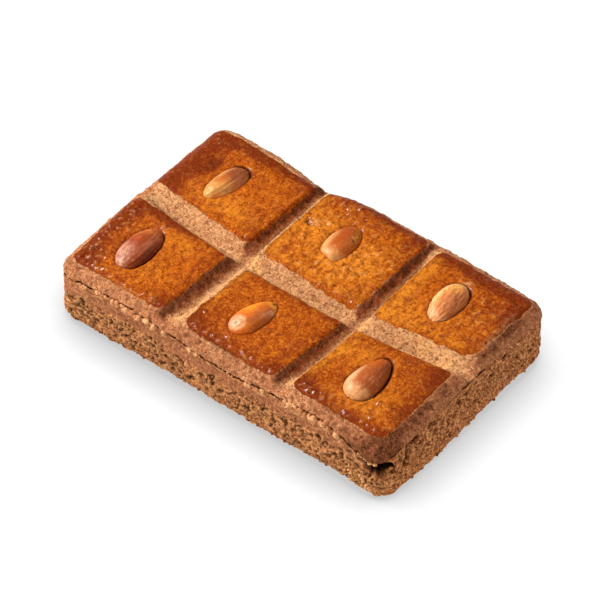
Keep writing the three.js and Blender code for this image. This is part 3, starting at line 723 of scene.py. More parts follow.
def lid_material():
    t = Tree("glazed_dough")
    glaze, burn_and_shade, warm, hole_shade, pale, bake_and_shade, lit = (t.attr(k) for k in ("glaze", "burn_and_shade", "warm", "hole_shade", "pale", "bake_and_shade", "lit"))
    grain = t.noise(1.20, 3.0, 0.66)
    fine = t.noise(0.62, 2.0, 0.6)
    blot = t.noise(6.0, 3.0, 0.62)
    # glaze: orange brown, redder where burnt and where shade is painted, yellower where thin and where light is
    # painted, with a felt of darker and lighter grains
    g = t.mix(t.span(warm, 0.0, 0.9), GLAZE_MID, GLAZE_WARM)
    # how dark the glaze is: burnt places and painted shade, with large blotches
    baked = t.math("ADD", burn_and_shade, t.math("MULTIPLY", t.math("SUBTRACT", blot, 0.5), 1.0))
    calm = t.span(baked, 0.30, 1.60, 1.0, 0.34)
    g = t.mix(t.span(baked, 0.0, 1.35, 0.0, 0.92, kind="LINEAR"), g, GLAZE_DARK)
    g = t.mix(t.span(baked, 0.80, 2.20, 0.0, 0.74), g, GLAZE_BURNT)
    felt = t.noise(2.3, 3.0, 0.66, vector=t.stretch((1, 0.62, 0.6)))
    g = t.mix(t.span(felt, 0.54, 0.34, 0.0, 0.66), g, GLAZE_DARK)
    g = t.mix(t.math("MULTIPLY", t.span(felt, 0.50, 0.74, 0.0, 0.40), calm), g, GLAZE_LIGHT)
    g = t.mix(t.span(grain, 0.49, 0.33, 0.0, 0.62), g, GLAZE_SPECK)
    g = t.mix(t.math("MULTIPLY", t.span(grain, 0.52, 0.70, 0.0, 0.50), calm), g, GLAZE_LIGHT)
    g = t.mix(t.span(fine, 0.48, 0.32, 0.0, 0.50), g, GLAZE_SPECK)
    g = t.mix(t.math("MULTIPLY", t.span(fine, 0.54, 0.69, 0.0, 0.46), calm), g, GLAZE_LIGHT)
    # bare dough: pale in the grooves, browner on the sides, darker under the painted shade of the left groove walls,
    # paler under painted light (lit) on the walls facing the key light
    m = t.mix(t.span(bake_and_shade, 0.0, 0.5), DOUGH_PALE, DOUGH_BROWN)
    m = t.mix(t.span(bake_and_shade, 0.5, 1.0), m, DOUGH_DARK)
    m = t.mix(t.span(lit, 0.25, 1.0), m, DOUGH_LIT)
    m = t.mix(t.span(t.noise(3.2, 3.0, 0.62), 0.53, 0.37, 0.0, 0.54), m, DOUGH_RED)
    m = t.mix(t.span(t.noise(1.4, 3.0, 0.64), 0.48, 0.37, 0.0, 0.78), m, DOUGH_SPECK)
    m = t.mix(t.span(fine, 0.46, 0.35, 0.0, 0.60), m, DOUGH_SPECK)
    fleck = t.span(t.noise(0.95, 2.0, 0.6, vector=t.stretch((1, 1, 1.3))), 0.52, 0.64, 0.0, 0.70)
    m = t.mix(t.math("MULTIPLY", fleck, t.span(bake_and_shade, 0.2, 0.8, 1.0, 0.12)), m, DOUGH_LIGHT)
    m = t.mix(t.math("MULTIPLY", t.span(fine, 0.51, 0.60, 0.0, 0.66), t.span(bake_and_shade, 0.35, 0.75)), m, DOUGH_GRAIN)
    m = t.mix(t.math("MULTIPLY", t.span(grain, 0.47, 0.36, 0.0, 0.70), t.span(bake_and_shade, 0.35, 0.75)), m, HOLE_SHADE)
    mask = t.span(t.math("ADD", glaze, t.math("MULTIPLY", t.math("SUBTRACT", fine, 0.5), 1.3)), 0.30, 0.70)
    c = t.mix(mask, m, g)
    # pale crumb and worn dough, and painted highlights on blisters, beads and lumps
    c = t.mix(t.math("MULTIPLY", pale, 0.85, clamp=True), c, PALE_CRUMB_AND_HIGHLIGHT)
    # painted shade in pores, pits, cracks, creases and gaps
    c = t.mix(t.math("MULTIPLY", hole_shade, 0.88, clamp=True), c, HOLE_SHADE)
    # gloss
    rough = t.span(grain, 0.35, 0.7, 0.46, 0.60)
    r = t.math("ADD", t.math("MULTIPLY", mask, t.math("SUBTRACT", rough, 0.95)), 0.95)
    r = t.math("ADD", r, t.math("MULTIPLY", pale, 0.3), clamp=True)
    # relief finer than the mesh
    gl = t.math("MULTIPLY", t.math("ADD", t.math("MULTIPLY", grain, 0.46), t.math("MULTIPLY", fine, 0.18)), mask)
    ma = t.math("MULTIPLY", t.math("ADD", t.math("MULTIPLY", t.noise(1.3, 3.0, 0.65), 1.05), t.math("MULTIPLY", fine, 0.50)),
                t.math("SUBTRACT", 1.0, mask))
    t.put(t.bsdf.inputs["Coat Weight"], t.math("MULTIPLY", mask, t.attr("gloss")))
    return t.finish(c, r, t.bump(t.math("ADD", gl, ma)), Specular_IOR_Level=0.10, Specular_Tint=(1.0, 0.72, 0.5, 1.0), Coat_Roughness=0.15)


def base_material():
    t = Tree("crumb_dough")
    hole_shade, pale, bake_and_shade, shadow, toast = (t.attr(k) for k in ("hole_shade", "pale", "bake_and_shade", "band", "toast"))
    grain = t.noise(1.5, 3.0, 0.62)
    fine = t.noise(0.78, 2.0, 0.6)
    blot = t.noise(6.0, 2.0, 0.5)
    m = t.mix(t.span(blot, 0.3, 0.7), BASE_BROWN, BASE_WARM)
    m = t.mix(t.span(shadow, 0.0, 1.0), m, BASE_BAND)
    m = t.mix(t.span(bake_and_shade, 0.0, 1.0), m, BASE_DARK)
    m = t.mix(toast, m, BASE_TOAST)
    rough = t.span(shadow, 0.1, 0.9, 1.0, 0.50)
    m = t.mix(t.math("MULTIPLY", t.span(grain, 0.48, 0.37, 0.0, 0.76), rough), m, BASE_SPECK)
    m = t.mix(t.math("MULTIPLY", t.span(grain, 0.53, 0.63, 0.0, 0.76), rough), m, BASE_LIGHT)
    m = t.mix(t.math("MULTIPLY", t.span(fine, 0.46, 0.35, 0.0, 0.70), rough), m, BASE_SPECK)
    m = t.mix(t.math("MULTIPLY", t.span(fine, 0.55, 0.65, 0.0, 0.66), rough), m, BASE_LIGHT)
    m = t.mix(t.math("MULTIPLY", pale, 0.8, clamp=True), m, PALE_CRUMB_AND_HIGHLIGHT)
    # painted shade in pits and gaps, near black in the hollow under the drooping corner
    c = t.mix(t.math("MULTIPLY", hole_shade, 0.93, clamp=True), m, HOLE_SHADE)
    c = t.mix(t.span(hole_shade, 0.955, 0.995), c, HOLLOW_SHADE)
    height = t.math("ADD", t.math("MULTIPLY", grain, 1.1), t.math("MULTIPLY", fine, 0.6))
    return t.finish(c, t.span(grain, 0.3, 0.7, 0.97, 0.88), t.bump(height), Specular_IOR_Level=0.12, Specular_Tint=(1.0, 0.72, 0.5, 1.0))


def under_material():
    t = Tree("crumb_under")
    grain = t.noise(1.3, 3.0, 0.62)
    blot = t.noise(9.0, 3.0, 0.55)
    pores = t.cells(2.6)
    m = t.mix(t.span(blot, 0.35, 0.68), BASE_BROWN, BASE_DARK)
    m = t.mix(t.span(grain, 0.50, 0.34, 0.0, 0.6), m, BASE_SPECK)
    m = t.mix(t.span(grain, 0.54, 0.70, 0.0, 0.5), m, BASE_LIGHT)
    # painted shade in the pores
    c = t.mix(t.span(pores, 0.26, 0.12, 0.0, 0.8), m, HOLE_SHADE)
    height = t.math("ADD", t.math("MULTIPLY", grain, 0.3), t.span(pores, 0.05, 0.28, 0.0, 0.5))
    return t.finish(c, 0.95, t.bump(height), Specular_IOR_Level=0.22, Specular_Tint=(1.0, 0.72, 0.5, 1.0))


def almond_material(name, tone, streak, gloss):
    t = Tree(name)
    c = t.attr("tint", colour=True)
    lines = t.attr("lines")
    grain = t.noise(1.2, 3.0, 0.6)
    fine = t.noise(0.6, 2.0, 0.6)
    blot = t.noise(3.4, 3.0, 0.6)
    c = t.mix(t.span(blot, 0.42, 0.66, 0.0, 0.40), c, tone)
    c = t.mix(t.math("MULTIPLY", t.span(lines, 0.35, 0.9), streak), c, ALMOND_LINE)
    c = t.mix(t.span(grain, 0.48, 0.34, 0.0, 0.30), c, ALMOND_LINE)
    c = t.mix(t.span(grain, 0.54, 0.68, 0.0, 0.16), c, ALMOND_LIGHT)
    height = t.math("ADD", t.math("MULTIPLY", grain, 0.16), t.math("MULTIPLY", lines, -0.20))
    return t.finish(c, t.span(blot, 0.3, 0.7, gloss, gloss + 0.12), t.bump(height), Specular_IOR_Level=0.25, Specular_Tint=(1.0, 0.80, 0.6, 1.0),
                    Coat_Weight=0.42, Coat_Roughness=0.36)


def crumb_material():
    t = Tree("loose_crumb")
    grain = t.noise(0.7, 3.0, 0.6)
    tint = t.attr("tint", colour=True)
    c = t.mix(t.span(grain, 0.50, 0.35, 0.0, 0.5), tint, BASE_SPECK)
    return t.finish(c, 0.95, t.bump(t.math("MULTIPLY", grain, 0.4)), Specular_IOR_Level=0.22, Specular_Tint=(1.0, 0.72, 0.5, 1.0))


# ---------------------------------------------------------------- colours (linear)
GLAZE_MID = (0.470, 0.088, 0.0018)
GLAZE_WARM = (0.730, 0.225, 0.0140)
GLAZE_DARK = (0.185, 0.018, 0.0010)
GLAZE_SPECK = (0.175, 0.018, 0.0008)
GLAZE_BURNT = (0.150, 0.015, 0.0014)
GLAZE_LIGHT = (0.850, 0.272, 0.0190)
DOUGH_PALE = (0.700, 0.345, 0.145)
DOUGH_BROWN = (0.560, 0.212, 0.090)
DOUGH_DARK = (0.112, 0.032, 0.011)
DOUGH_SPECK = (0.260, 0.085, 0.030)
DOUGH_LIGHT = (0.920, 0.520, 0.260)
DOUGH_GRAIN = (0.370, 0.112, 0.046)
DOUGH_RED = (0.430, 0.130, 0.052)
DOUGH_LIT = (0.980, 0.520, 0.175)
# pale crumb, also the painted highlights of the glaze
PALE_CRUMB_AND_HIGHLIGHT = (0.760, 0.390, 0.160)
# near black of painted shade in pores, pits, cracks and gaps
HOLE_SHADE = (0.030, 0.007, 0.003)
# near black of painted shade in the hollow under the drooping corner
HOLLOW_SHADE = (0.018, 0.006, 0.004)
BASE_BROWN = (0.480, 0.168, 0.060)
BASE_WARM = (0.570, 0.204, 0.074)
BASE_BAND = (0.430, 0.150, 0.066)
BASE_DARK = (0.330, 0.098, 0.028)
BASE_TOAST = (0.600, 0.160, 0.026)
BASE_SPECK = (0.140, 0.038, 0.012)
BASE_LIGHT = (0.900, 0.425, 0.155)
ALMOND_LINE = (0.180, 0.055, 0.022)
ALMOND_LIGHT = (0.800, 0.400, 0.170)
LUMP_TONES = [(0.740, 0.350, 0.155), (0.560, 0.225, 0.092), (0.830, 0.430, 0.190)]
FOOT_TONES = [(0.660, 0.250, 0.065), (0.420, 0.130, 0.030), (0.200, 0.050, 0.014), (0.740, 0.360, 0.130)]


# ---------------------------------------------------------------- top sheet
def build_lid(mat):
    xs = side_lines(HX, 0.47)
    ys = side_lines(HY, 0.47)
    nx, ny = len(xs), len(ys)
    X, Y = np.meshgrid(xs, ys)
    X, Y = X.ravel(), Y.ravel()
    X = np.where(np.abs(X) < 1e-9, 1e-7, X)
    Y = np.where(np.abs(Y) < 1e-9, 1e-7, Y)
    rx, ry = rim_of(X, Y)
    sx, sy, d, ox, oy = on_slab(X, Y, LIP_INSET + bell(PINCH, X, Y))
    z = lid_top(sx, sy, d, rx, ry)
    grid = np.stack([sx, sy, z], 1)
    bi, bj = border_index(nx, ny)
    border = bj * nx + bi
    bx, by = X[border], Y[border]
    brx, bry = rim_of(bx, by)
    seam = seam_height(brx, bry)
    gap = seam_gap(brx, bry)
    shut = seam_shut(brx, bry)
    pinch = bell(PINCH, bx, by)
    cnt = len(border)
    rings, parts = [], [grid]
    at = len(grid)
    edge_in = lip_inset(brx, bry)
    low = np.minimum(seam + seam_wobble(brx, bry) + gap, seam + 0.92)
    # part of the way in to the open edge, height above it, blended towards the core
    steps = [(0.02, 0.84, 0), (0.14, 0.52, 0), (0.46, 0.20, 0), (1.0, 0.0, 0), (2.4, None, 0.06), (3.6, None, 0.3), (5.6, None, 0.6)]
    for part, up, core in steps:
        ins = 0.46 + (edge_in - 0.46) * part if part <= 1 else np.full(cnt, part)
        px, py, _, _, _ = on_slab(bx, by, ins + pinch)
        if up is None:
            zz = low * (1 - core) + (CORE_Z + GAP) * core
        else:
            zz = low + (seam + 1.1 - low) * up
        parts.append(np.stack([px, py, zz], 1))
        rings.append(at + np.arange(cnt))
        at += cnt
    parts.append(np.stack([bx * (HX - CORE_INSET) / HX, by * (HY - CORE_INSET) / HY, np.full(cnt, CORE_Z + GAP)], 1))
    rings.append(at + np.arange(cnt))
    at += cnt
    parts.append(np.array([[0.0, 0.0, CORE_Z + GAP]]))
    v = np.concatenate(parts)
    i, j = np.meshgrid(np.arange(nx - 1), np.arange(ny - 1))
    a = (j * nx + i).ravel()
    quads = [np.stack([a, a + 1, a + 1 + nx, a + nx], 1)]
    chain = [border] + rings
    for up_, lo_ in zip(chain[:-1], chain[1:]):
        quads.append(ring_quads(up_, lo_))
    k = np.arange(cnt)
    fan = np.stack([rings[-1][k], np.full(cnt, at), rings[-1][(k + 1) % cnt]], 1)
    faces = [np.concatenate(quads), fan]
    n = normals_of(v, faces)

    # distance from the side, for the rings that hang below the grid too
    dd = np.zeros(len(v))
    dd[:len(grid)] = d
    f = lid_fields(v[:, 0], v[:, 1], v[:, 2], dd)
    ng = len(grid)
    hidden = np.zeros(len(v))
    hidden[rings[4][0]:] = 1.0
    amount = f["relief"] * (1 - hidden)
    # the open edge stays thin and regular enough not to close the seam
    for r, keep in ((rings[2], 0.7), (rings[3], 0.4)):
        amount[r] *= keep
    v = v + n * amount[:, None]
    # underside and open edge keep their height
    v[rings[3], 2] = np.maximum(v[rings[3], 2], low)
    ztop = v[:ng, 2].copy()
    ff = {key: f[key][:ng].copy() for key in ("hole_shade", "burn_and_shade", "pale")}
    ztop = press_almonds(v[:ng, 0], v[:ng, 1], ztop, ff)
    v[:ng, 2] = ztop
    for key in ff:
        f[key][:ng] = ff[key]
    # the open edge lies in shade
    f["hole_shade"][rings[2]] = np.maximum(f["hole_shade"][rings[2]], 0.35 * (1 - shut))
    f["hole_shade"][rings[3]] = np.maximum(f["hole_shade"][rings[3]], 0.55 * (1 - shut))
    f["hole_shade"][rings[4][0]:] = 0.72
    x, y, zc = v[:, 0], v[:, 1], v[:, 2]
    # how dark the bare dough is baked, with painted shade and painted light added along the short grooves
    bake_and_shade = 0.16 + 0.30 * f["side"] + 0.12 * noise((x, y, zc), 8, 55)
    open_end = np.exp(-(((y - 3.2) / 6.5) ** 4))
    mottle = 0.10 * noise((x, y, zc), 5.5, 64) + 0.14 * noise((x, y, zc), 2.2, 65)
    below = -f["edge"]
    right_band = smooth(70.5, 74.5, x) * smooth(-0.6, 0.8, below) * (1 - smooth(29.0, 26.6, zc + 0.7 * noise((x, y, zc), 3.4, 66)) * 0.80)
    bake_and_shade = bake_and_shade + right_band * (0.62 + 0.12 * smooth(-14, -40, y) + 1.6 * mottle) * (1 - 0.80 * open_end)
    corner = np.exp(-(((x - 76.0) / 6.5) ** 2 + ((y + 49) / 7) ** 2))
    bake_and_shade = bake_and_shade + (0.98 + 1.6 * mottle) * corner + 0.30 * np.exp(-(((x - 66) / 8) ** 2 + ((y + 50) / 4) ** 2))
    groove = smooth(0.8, 3.2, groove_at(x, y)) * (1 - f["side"])
    bake_and_shade = bake_and_shade - 0.22 * groove
    # painted shade on the left wall of each short groove, the wall turned away from the key light
    for g in SHORTS:
        half = g["half"] + (g["back"] - g["half"]) * smooth(-12, 12, y)
        wall = np.exp(-(((x - short_mid(g, y) + 0.60 * half) / (0.42 * half)) ** 2)) * smooth(1.0, 4.0, np.abs(y - long_mid(x)))
        wall = wall * (0.85 + 0.35 * noise((x, y, zc), 2.0, 69))
        bake_and_shade = bake_and_shade + (1.02 + 0.24 * smooth(2, 24, y)) * wall * smooth(49, 45, np.abs(y))
    bake_and_shade = bake_and_shade - 0.12 * smooth(44, 62, x) * groove * smooth(8, 5, np.abs(y - long_mid(x)))
    # painted light where the groove walls face the key light
    bake_and_shade = bake_and_shade - 0.8 * f["lit"] * (1 - f["glaze"])
    gloss = smooth(0.4, 2.6, f["edge"]) * (0.26 + 0.38 * smooth(-0.25, 0.45, noise((x, y, x * 0), 9.0, 83))) * (1 - hidden)
    away = (1 - smooth(3.5, 10, x + HX)) + (1 - smooth(3.5, 11, HY - y)) + 0.5 * (1 - smooth(3, 7, HX - x))
    gloss = np.clip(gloss * (1 - 0.94 * np.clip(away, 0, 1)) + 0.72 * np.clip(f["bead"], 0, 1) * (1 - 0.8 * np.clip(away, 0, 1) * smooth(20, 40, y)), 0, 1)
    attrs = dict(gloss=gloss, glaze=f["glaze"] * (1 - hidden), burn_and_shade=f["burn_and_shade"], warm=f["warm"], hole_shade=np.clip(f["hole_shade"], 0, 1),
                 pale=np.clip(f["pale"], 0, 1), bake_and_shade=np.clip(bake_and_shade, 0, 1), lit=f["lit"] * (1 - hidden))
    # map: the grid as it is, the rings in a strip below it
    gu = np.tile(np.linspace(0.004, 0.996, nx), ny)
    gv = np.repeat(np.linspace(0.37, 0.996, ny), nx)
    gq = quads[0]
    uv = [np.stack([gu[gq], gv[gq]], 2).reshape(-1, 2)]
    heights = [0.8, 0.33, 0.3, 0.3, 0.9, 2.0, 3.0, 4.0]
    levels = np.concatenate([[0], np.cumsum(heights)])
    levels = levels / levels[-1] * 0.084
    quarter = cnt / 4.0
    for m in range(len(quads) - 1):
        row = np.minimum((k / quarter).astype(int), 3)
        lo_u = 0.004 + 0.992 * (k - row * quarter) / quarter
        hi_u = 0.004 + 0.992 * (k + 1 - row * quarter) / quarter
        top_v = 0.36 - row * 0.09 - levels[m]
        bot_v = 0.36 - row * 0.09 - levels[m + 1]
        uv.append(np.stack([np.stack([lo_u, top_v], 1), np.stack([lo_u, bot_v], 1), np.stack([hi_u, bot_v], 1), np.stack([hi_u, top_v], 1)], 1).reshape(-1, 2))
    # the hidden inside needs next to nothing
    th = 2 * math.pi * k / cnt
    tn = 2 * math.pi * (k + 1) / cnt
    cu, cv, rr = 0.5, 0.003, 0.0025
    uv.append(np.stack([np.stack([cu + rr * np.cos(th), cv + rr * np.sin(th)], 1), np.tile([cu, cv], (cnt, 1)),
                        np.stack([cu + rr * np.cos(tn), cv + rr * np.sin(tn)], 1)], 1).reshape(-1, 2))
    ob = make_object("lid_dough", v, faces, attrs, np.concatenate(uv), [mat])
    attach(ob, "root")
    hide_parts("dough_lid")
    return ob


# ---------------------------------------------------------------- bottom layer
# larger pits of the front side, painted dark as painted shade: x, z, half length, half height, depth
FRONT_PITS = [
    (-66.5, 14.7, 1.7, 1.0, 1.3), (-68.2, 11.0, 1.3, 0.8, 1.0), (-64.3, 7.5, 1.8, 0.7, 1.1), (-59.3, 8.5, 1.0, 0.7, 0.8),
    (-51.7, 12.8, 1.2, 1.1, 1.1), (-48.8, 10.9, 1.7, 0.8, 1.2), (-40.8, 14.4, 1.4, 0.6, 0.9), (-36.9, 12.1, 1.6, 0.8, 1.1),
    (-32.9, 15.7, 1.1, 1.2, 0.9), (-31.0, 12.6, 1.3, 0.7, 1.0), (-28.7, 6.0, 2.0, 0.9, 1.2), (-19.7, 14.5, 1.8, 0.7, 1.1),
    (31.7, 5.2, 2.6, 1.1, 1.8), (40.2, 13.1, 1.9, 0.8, 1.2), (47.7, 15.9, 1.5, 0.9, 1.3), (37.8, 15.2, 1.6, 0.6, 1.0),
    (50.6, 13.0, 1.9, 0.7, 1.2), (57.6, 16.1, 2.0, 0.8, 1.3), (55.3, 11.9, 1.5, 0.8, 1.1), (47.3, 9.7, 1.6, 0.7, 1.1),
    (53.0, 6.0, 1.2, 0.8, 1.0), (67.8, 16.6, 2.6, 1.0, 2.0), (65.2, 9.4, 1.9, 0.6, 1.1), (8.0, 12.5, 1.8, 0.7, 1.1),
    (14.5, 9.0, 1.6, 0.7, 1.0), (20.5, 13.6, 1.9, 0.7, 1.1), (1.0, 9.5, 1.4, 0.7, 1.0), (-8.0, 12.6, 1.8, 0.8, 1.1),
    (-13.0, 7.4, 1.6, 0.7, 1.0), (26.5, 10.6, 1.7, 0.7, 1.1), (62.0, 17.2, 1.6, 0.6, 1.1),
    (66.0, 12.6, 1.9, 0.9, 1.5), (69.8, 10.2, 1.6, 0.8, 1.2), (70.6, 14.4, 1.9, 1.0, 1.7), (62.6, 13.6, 1.7, 0.8, 1.3), (72.6, 7.6, 1.4, 0.8, 1.1),
]
# pale lumps just under the seam at the front: x, z, half length, half height, how far out
FRONT_LUMPS = [
    (-65.3, 21.2, 2.4, 1.2, 0.5), (-49.9, 22.8, 1.6, 2.0, 0.8), (-45.0, 22.6, 2.6, 1.6, 0.8), (-40.6, 22.2, 2.2, 1.6, 0.7),
    (-33.2, 21.9, 3.0, 1.4, 0.7), (-25.9, 22.0, 1.8, 1.2, 0.5), (36.4, 21.9, 4.2, 1.8, 0.9), (33.2, 22.2, 1.6, 2.0, 0.6),
    (40.4, 21.8, 1.6, 1.6, 0.7), (44.6, 21.6, 2.2, 1.8, 0.7), (51.0, 22.6, 2.6, 1.2, 0.7), (57.5, 21.4, 2.6, 1.6, 0.6),
    (-12.0, 21.6, 2.4, 1.1, 0.5), (20.0, 20.4, 2.6, 1.2, 0.6), (14.0, 20.6, 1.8, 1.0, 0.5), (-57.5, 21.9, 1.7, 1.2, 0.5),
]
# pits of the right side, painted dark as painted shade: y, z, half length, half height, depth
RIGHT_PITS = [
    (-0.5, 20.2, 1.9, 1.6, 2.0), (-5.3, 18.7, 1.5, 1.1, 1.4), (-33.8, 21.4, 4.2, 1.5, 2.4), (-30.6, 20.0, 2.2, 1.1, 1.8),
    (-37.4, 19.0, 1.3, 4.0, 2.2), (-39.0, 15.0, 1.3, 2.6, 1.8), (-42.0, 19.0, 1.2, 2.0, 1.4), (-26.5, 12.5, 1.8, 0.9, 1.4), (4.5, 12.0, 1.6, 0.9, 1.3), (14.0, 17.5, 1.5, 0.9, 1.2), (-19.7, 15.4, 1.8, 1.0, 1.4), (22.9, 20.6, 1.6, 0.9, 1.2),
    (28.1, 7.7, 1.5, 1.0, 1.2), (9.4, 19.6, 1.3, 1.0, 1.2), (-28.8, 16.6, 1.3, 1.0, 1.2), (30.2, 15.2, 1.4, 0.9, 1.2),
    (-22.0, 20.6, 2.0, 0.9, 1.4), (-12.6, 9.5, 1.5, 1.0, 1.2), (38.0, 12.0, 1.4, 0.9, 1.1),
]


def build_base(mat, under):
    step = 0.43
    xs = np.linspace(-HX, HX, int(round(LENGTH / step)) + 1)
    ys = np.linspace(-HY, HY, int(round(WIDTH / step)) + 1)
    nx, ny = len(xs), len(ys)
    bi, bj = border_index(nx, ny)
    bx, by = xs[bi], ys[bj]
    cnt = len(bx)
    rx, ry = rim_of(bx, by)
    seam = seam_height(rx, ry) + seam_wobble(rx, ry)
    shut = seam_shut(rx, ry)
    rows = 58
    share = 1 - np.linspace(0, 1, rows)
    S = np.repeat(share, cnt)
    BX, BY, RX, RY = (np.tile(a, rows) for a in (bx, by, rx, ry))
    Z = np.tile(seam, rows) * S
    SH = np.tile(shut, rows)
    # the mean of the coarse model's hollow is deepened below
    ins = side_inset(RX, RY, Z, S, SH)
    px, py, _, ox, oy = on_slab(BX, BY, ins)
    wall = np.stack([px, py, Z], 1)
    parts, rings = [wall], [k * cnt + np.arange(cnt) for k in range(rows)]
    at = len(wall)
    top_rings = []
    shoulder = shoulder_inset(rx, ry)
    for inset, drop, core in ((0.22, 0.34, 0), (0.55, 0.95, 0), (1.4, 1.35, 0), (3.2, 0.7, 0.3), (5.0, 0.3, 0.6)):
        qx, qy, _, _, _ = on_slab(bx, by, shoulder + inset + bell(PINCH, bx, by))
        parts.append(np.stack([qx, qy, (seam - drop * (1 - shut)) * (1 - core) + CORE_Z * core], 1))
        top_rings.append(at + np.arange(cnt))
        at += cnt
    parts.append(np.stack([bx * (HX - CORE_INSET) / HX, by * (HY - CORE_INSET) / HY, np.full(cnt, CORE_Z)], 1))
    top_rings.append(at + np.arange(cnt))
    at += cnt
    parts.append(np.array([[0.0, 0.0, CORE_Z]]))
    top_mid = at
    at += 1
    foot_rings = []
    for k_in in (0.985, 0.955, 0.88):
        foot = wall[rings[-1]]
        parts.append(np.stack([foot[:, 0] * k_in, foot[:, 1] * k_in, np.zeros(cnt)], 1))
        foot_rings.append(at + np.arange(cnt))
        at += cnt
    parts.append(np.array([[0.0, 0.0, 0.0]]))
    low_mid = at
    v = np.concatenate(parts)
    k = np.arange(cnt)
    n_ = (k + 1) % cnt
    wall_q = np.concatenate([ring_quads(rings[m], rings[m + 1]) for m in range(rows - 1)])
    up_chain = [rings[0]] + top_rings
    top_q = np.concatenate([ring_quads(b_, a_) for a_, b_ in zip(up_chain[:-1], up_chain[1:])])
    low_chain = [rings[-1]] + foot_rings
    low_q = np.concatenate([ring_quads(a_, b_) for a_, b_ in zip(low_chain[:-1], low_chain[1:])])
    top_f = np.stack([top_rings[-1][k], top_rings[-1][n_], np.full(cnt, top_mid)], 1)
    low_f = np.stack([foot_rings[-1][k], np.full(cnt, low_mid), foot_rings[-1][n_]], 1)
    faces = [np.concatenate([wall_q, top_q, low_q]), np.concatenate([top_f, low_f])]

    # relief of the side
    nw = len(wall)
    x, y, z = wall[:, 0], wall[:, 1], wall[:, 2]
    p = (x, y, z)
    n = normals_of(wall, [wall_q])
    n[:, 2] *= 0.6
    front = smooth(0.55, 0.85, -oy)
    right = smooth(0.55, 0.85, ox)
    rest = 1 - np.maximum(front, right)
    along_x = smooth(0.5, 0.8, np.abs(oy))
    relief = 0.30 * fbm(p, 9, 21, 2) + 0.24 * fbm(p, 3.6, 22, 2) + 0.20 * noise(p, 1.7, 23)
    # grains, as small round lumps that meet in creases
    lump = spots(p, 1.8, 24, 0.9, 0.5, 0.85)
    relief = relief + 0.30 * (np.sqrt(np.clip(lump, 0, 1)) - 0.5)
    # pits: long ones on the long sides, round small ones on the short sides, all painted dark as painted shade
    bx_, bz_ = x + 0.6 * noise(p, 2.4, 37), z + 0.45 * noise(p, 2.1, 38)
    cells = (2.9, 1.9)
    long_pit = face_spots(bx_, bz_, cells, 25, 0.88, 0.20, 0.50)
    long_rim = face_spots(bx_, bz_, cells, 25, 0.88, 0.42, 0.76)
    fine_pit = face_spots(bx_ + 40, bz_, (1.7, 1.2), 36, 0.60, 0.20, 0.46)
    short_pit = face_spots(y + 0.5 * noise(p, 2.2, 67), z + 0.25 * y + 0.4 * noise(p, 2.0, 68), (2.1, 1.6), 26, 0.62, 0.18, 0.42)
    tall = Z / np.maximum(np.tile(seam, rows), 1)
    ease = smooth(0.58, 0.72, tall + 0.10 * noise(p, 8, 27))
    thick = smooth(-0.75, 0.1, noise((x, y, z * 0.7), 8.5, 39))
    zone_long = smooth(0.05, 0.14, tall) * (1 - 0.93 * ease) * (0.35 + 0.65 * thick)
    zone_short = 0.8 * smooth(0.04, 0.12, tall) * (1 - 0.7 * smooth(0.86, 0.98, tall))
    lp = smooth(0.02, 0.40, long_pit) * zone_long * along_x
    fp = smooth(0.02, 0.5, fine_pit) * smooth(0.02, 0.08, tall) * (1 - 0.8 * ease) * along_x * (0.4 + 0.6 * thick)
    sp = smooth(0.02, 0.5, short_pit) * zone_short * (1 - along_x)
    rim = np.clip(smooth(0.0, 0.3, long_rim) - smooth(0.0, 0.25, long_pit), 0, 1) * zone_long * along_x
    relief = relief - 1.70 * lp - 0.70 * fp - 0.90 * sp + 0.30 * rim
    hole_shade = np.maximum(np.maximum(1.0 * lp, 0.85 * fp), 0.95 * sp)
    pale = 0.52 * rim
    wob = 0.30 * noise(p, 1.5, 28) + 0.18 * noise(p, 0.8, 29)
    for (cx, cz, hl, hh, deep) in FRONT_PITS:
        m = np.abs(x - cx) < 6
        q = np.sqrt(((x[m] - cx) / hl) ** 2 + ((z[m] - cz) / hh) ** 2) + wob[m]
        s = (1 - smooth(0.55, 1.15, q)) * front[m]
        relief[m] -= deep * s
        hole_shade[m] = np.maximum(hole_shade[m], 0.95 * s)
        pale[m] = np.maximum(pale[m], 0.55 * np.exp(-((q - 1.45) / 0.28) ** 2) * front[m])
    for (cy, cz, hl, hh, deep) in RIGHT_PITS:
        m = np.abs(y - cy) < 6
        q = np.sqrt(((y[m] - cy) / hl) ** 2 + ((z[m] - cz) / hh) ** 2) + wob[m]
        s = (1 - smooth(0.55, 1.15, q)) * right[m]
        relief[m] -= deep * s
        hole_shade[m] = np.maximum(hole_shade[m], 0.95 * s)
    for (cx, cz, hl, hh, out) in FRONT_LUMPS:
        m = np.abs(x - cx) < 8
        q = np.sqrt(((x[m] - cx) / hl) ** 2 + ((z[m] - cz) / hh) ** 2) + 0.8 * wob[m]
        s = (1 - smooth(0.45, 1.05, q)) * front[m]
        relief[m] += out * s
        pale[m] = np.maximum(pale[m], 0.75 * s)
        hole_shade[m] *= 1 - s
    # ragged lower edge
    rag = (1 - smooth(0.02, 0.15, tall)) * smooth(-0.01, 0.02, tall + 0.011)
    relief = relief + rag * (1 - 0.6 * right) * (0.35 * noise((x, y, z), 4.2, 30) + 0.35 * noise(p, 1.9, 31))
    crumbly = rag * smooth(0.1, 0.7, noise(p, 3.4, 32))
    pale = np.maximum(pale, 0.50 * crumbly)
    toast = (1 - smooth(0.05, 0.30, tall + 0.10 * noise(p, 5.0, 40))) * (0.35 + 0.65 * smooth(-0.5, 0.4, noise(p, 4.2, 42)))
    toast = toast * (0.75 * front + 0.8 * right + 0.5 * rest)
    # nothing stands proud at the top edge
    hush = 1 - 0.8 * smooth(0.93, 1.0, tall)
    relief = relief * hush
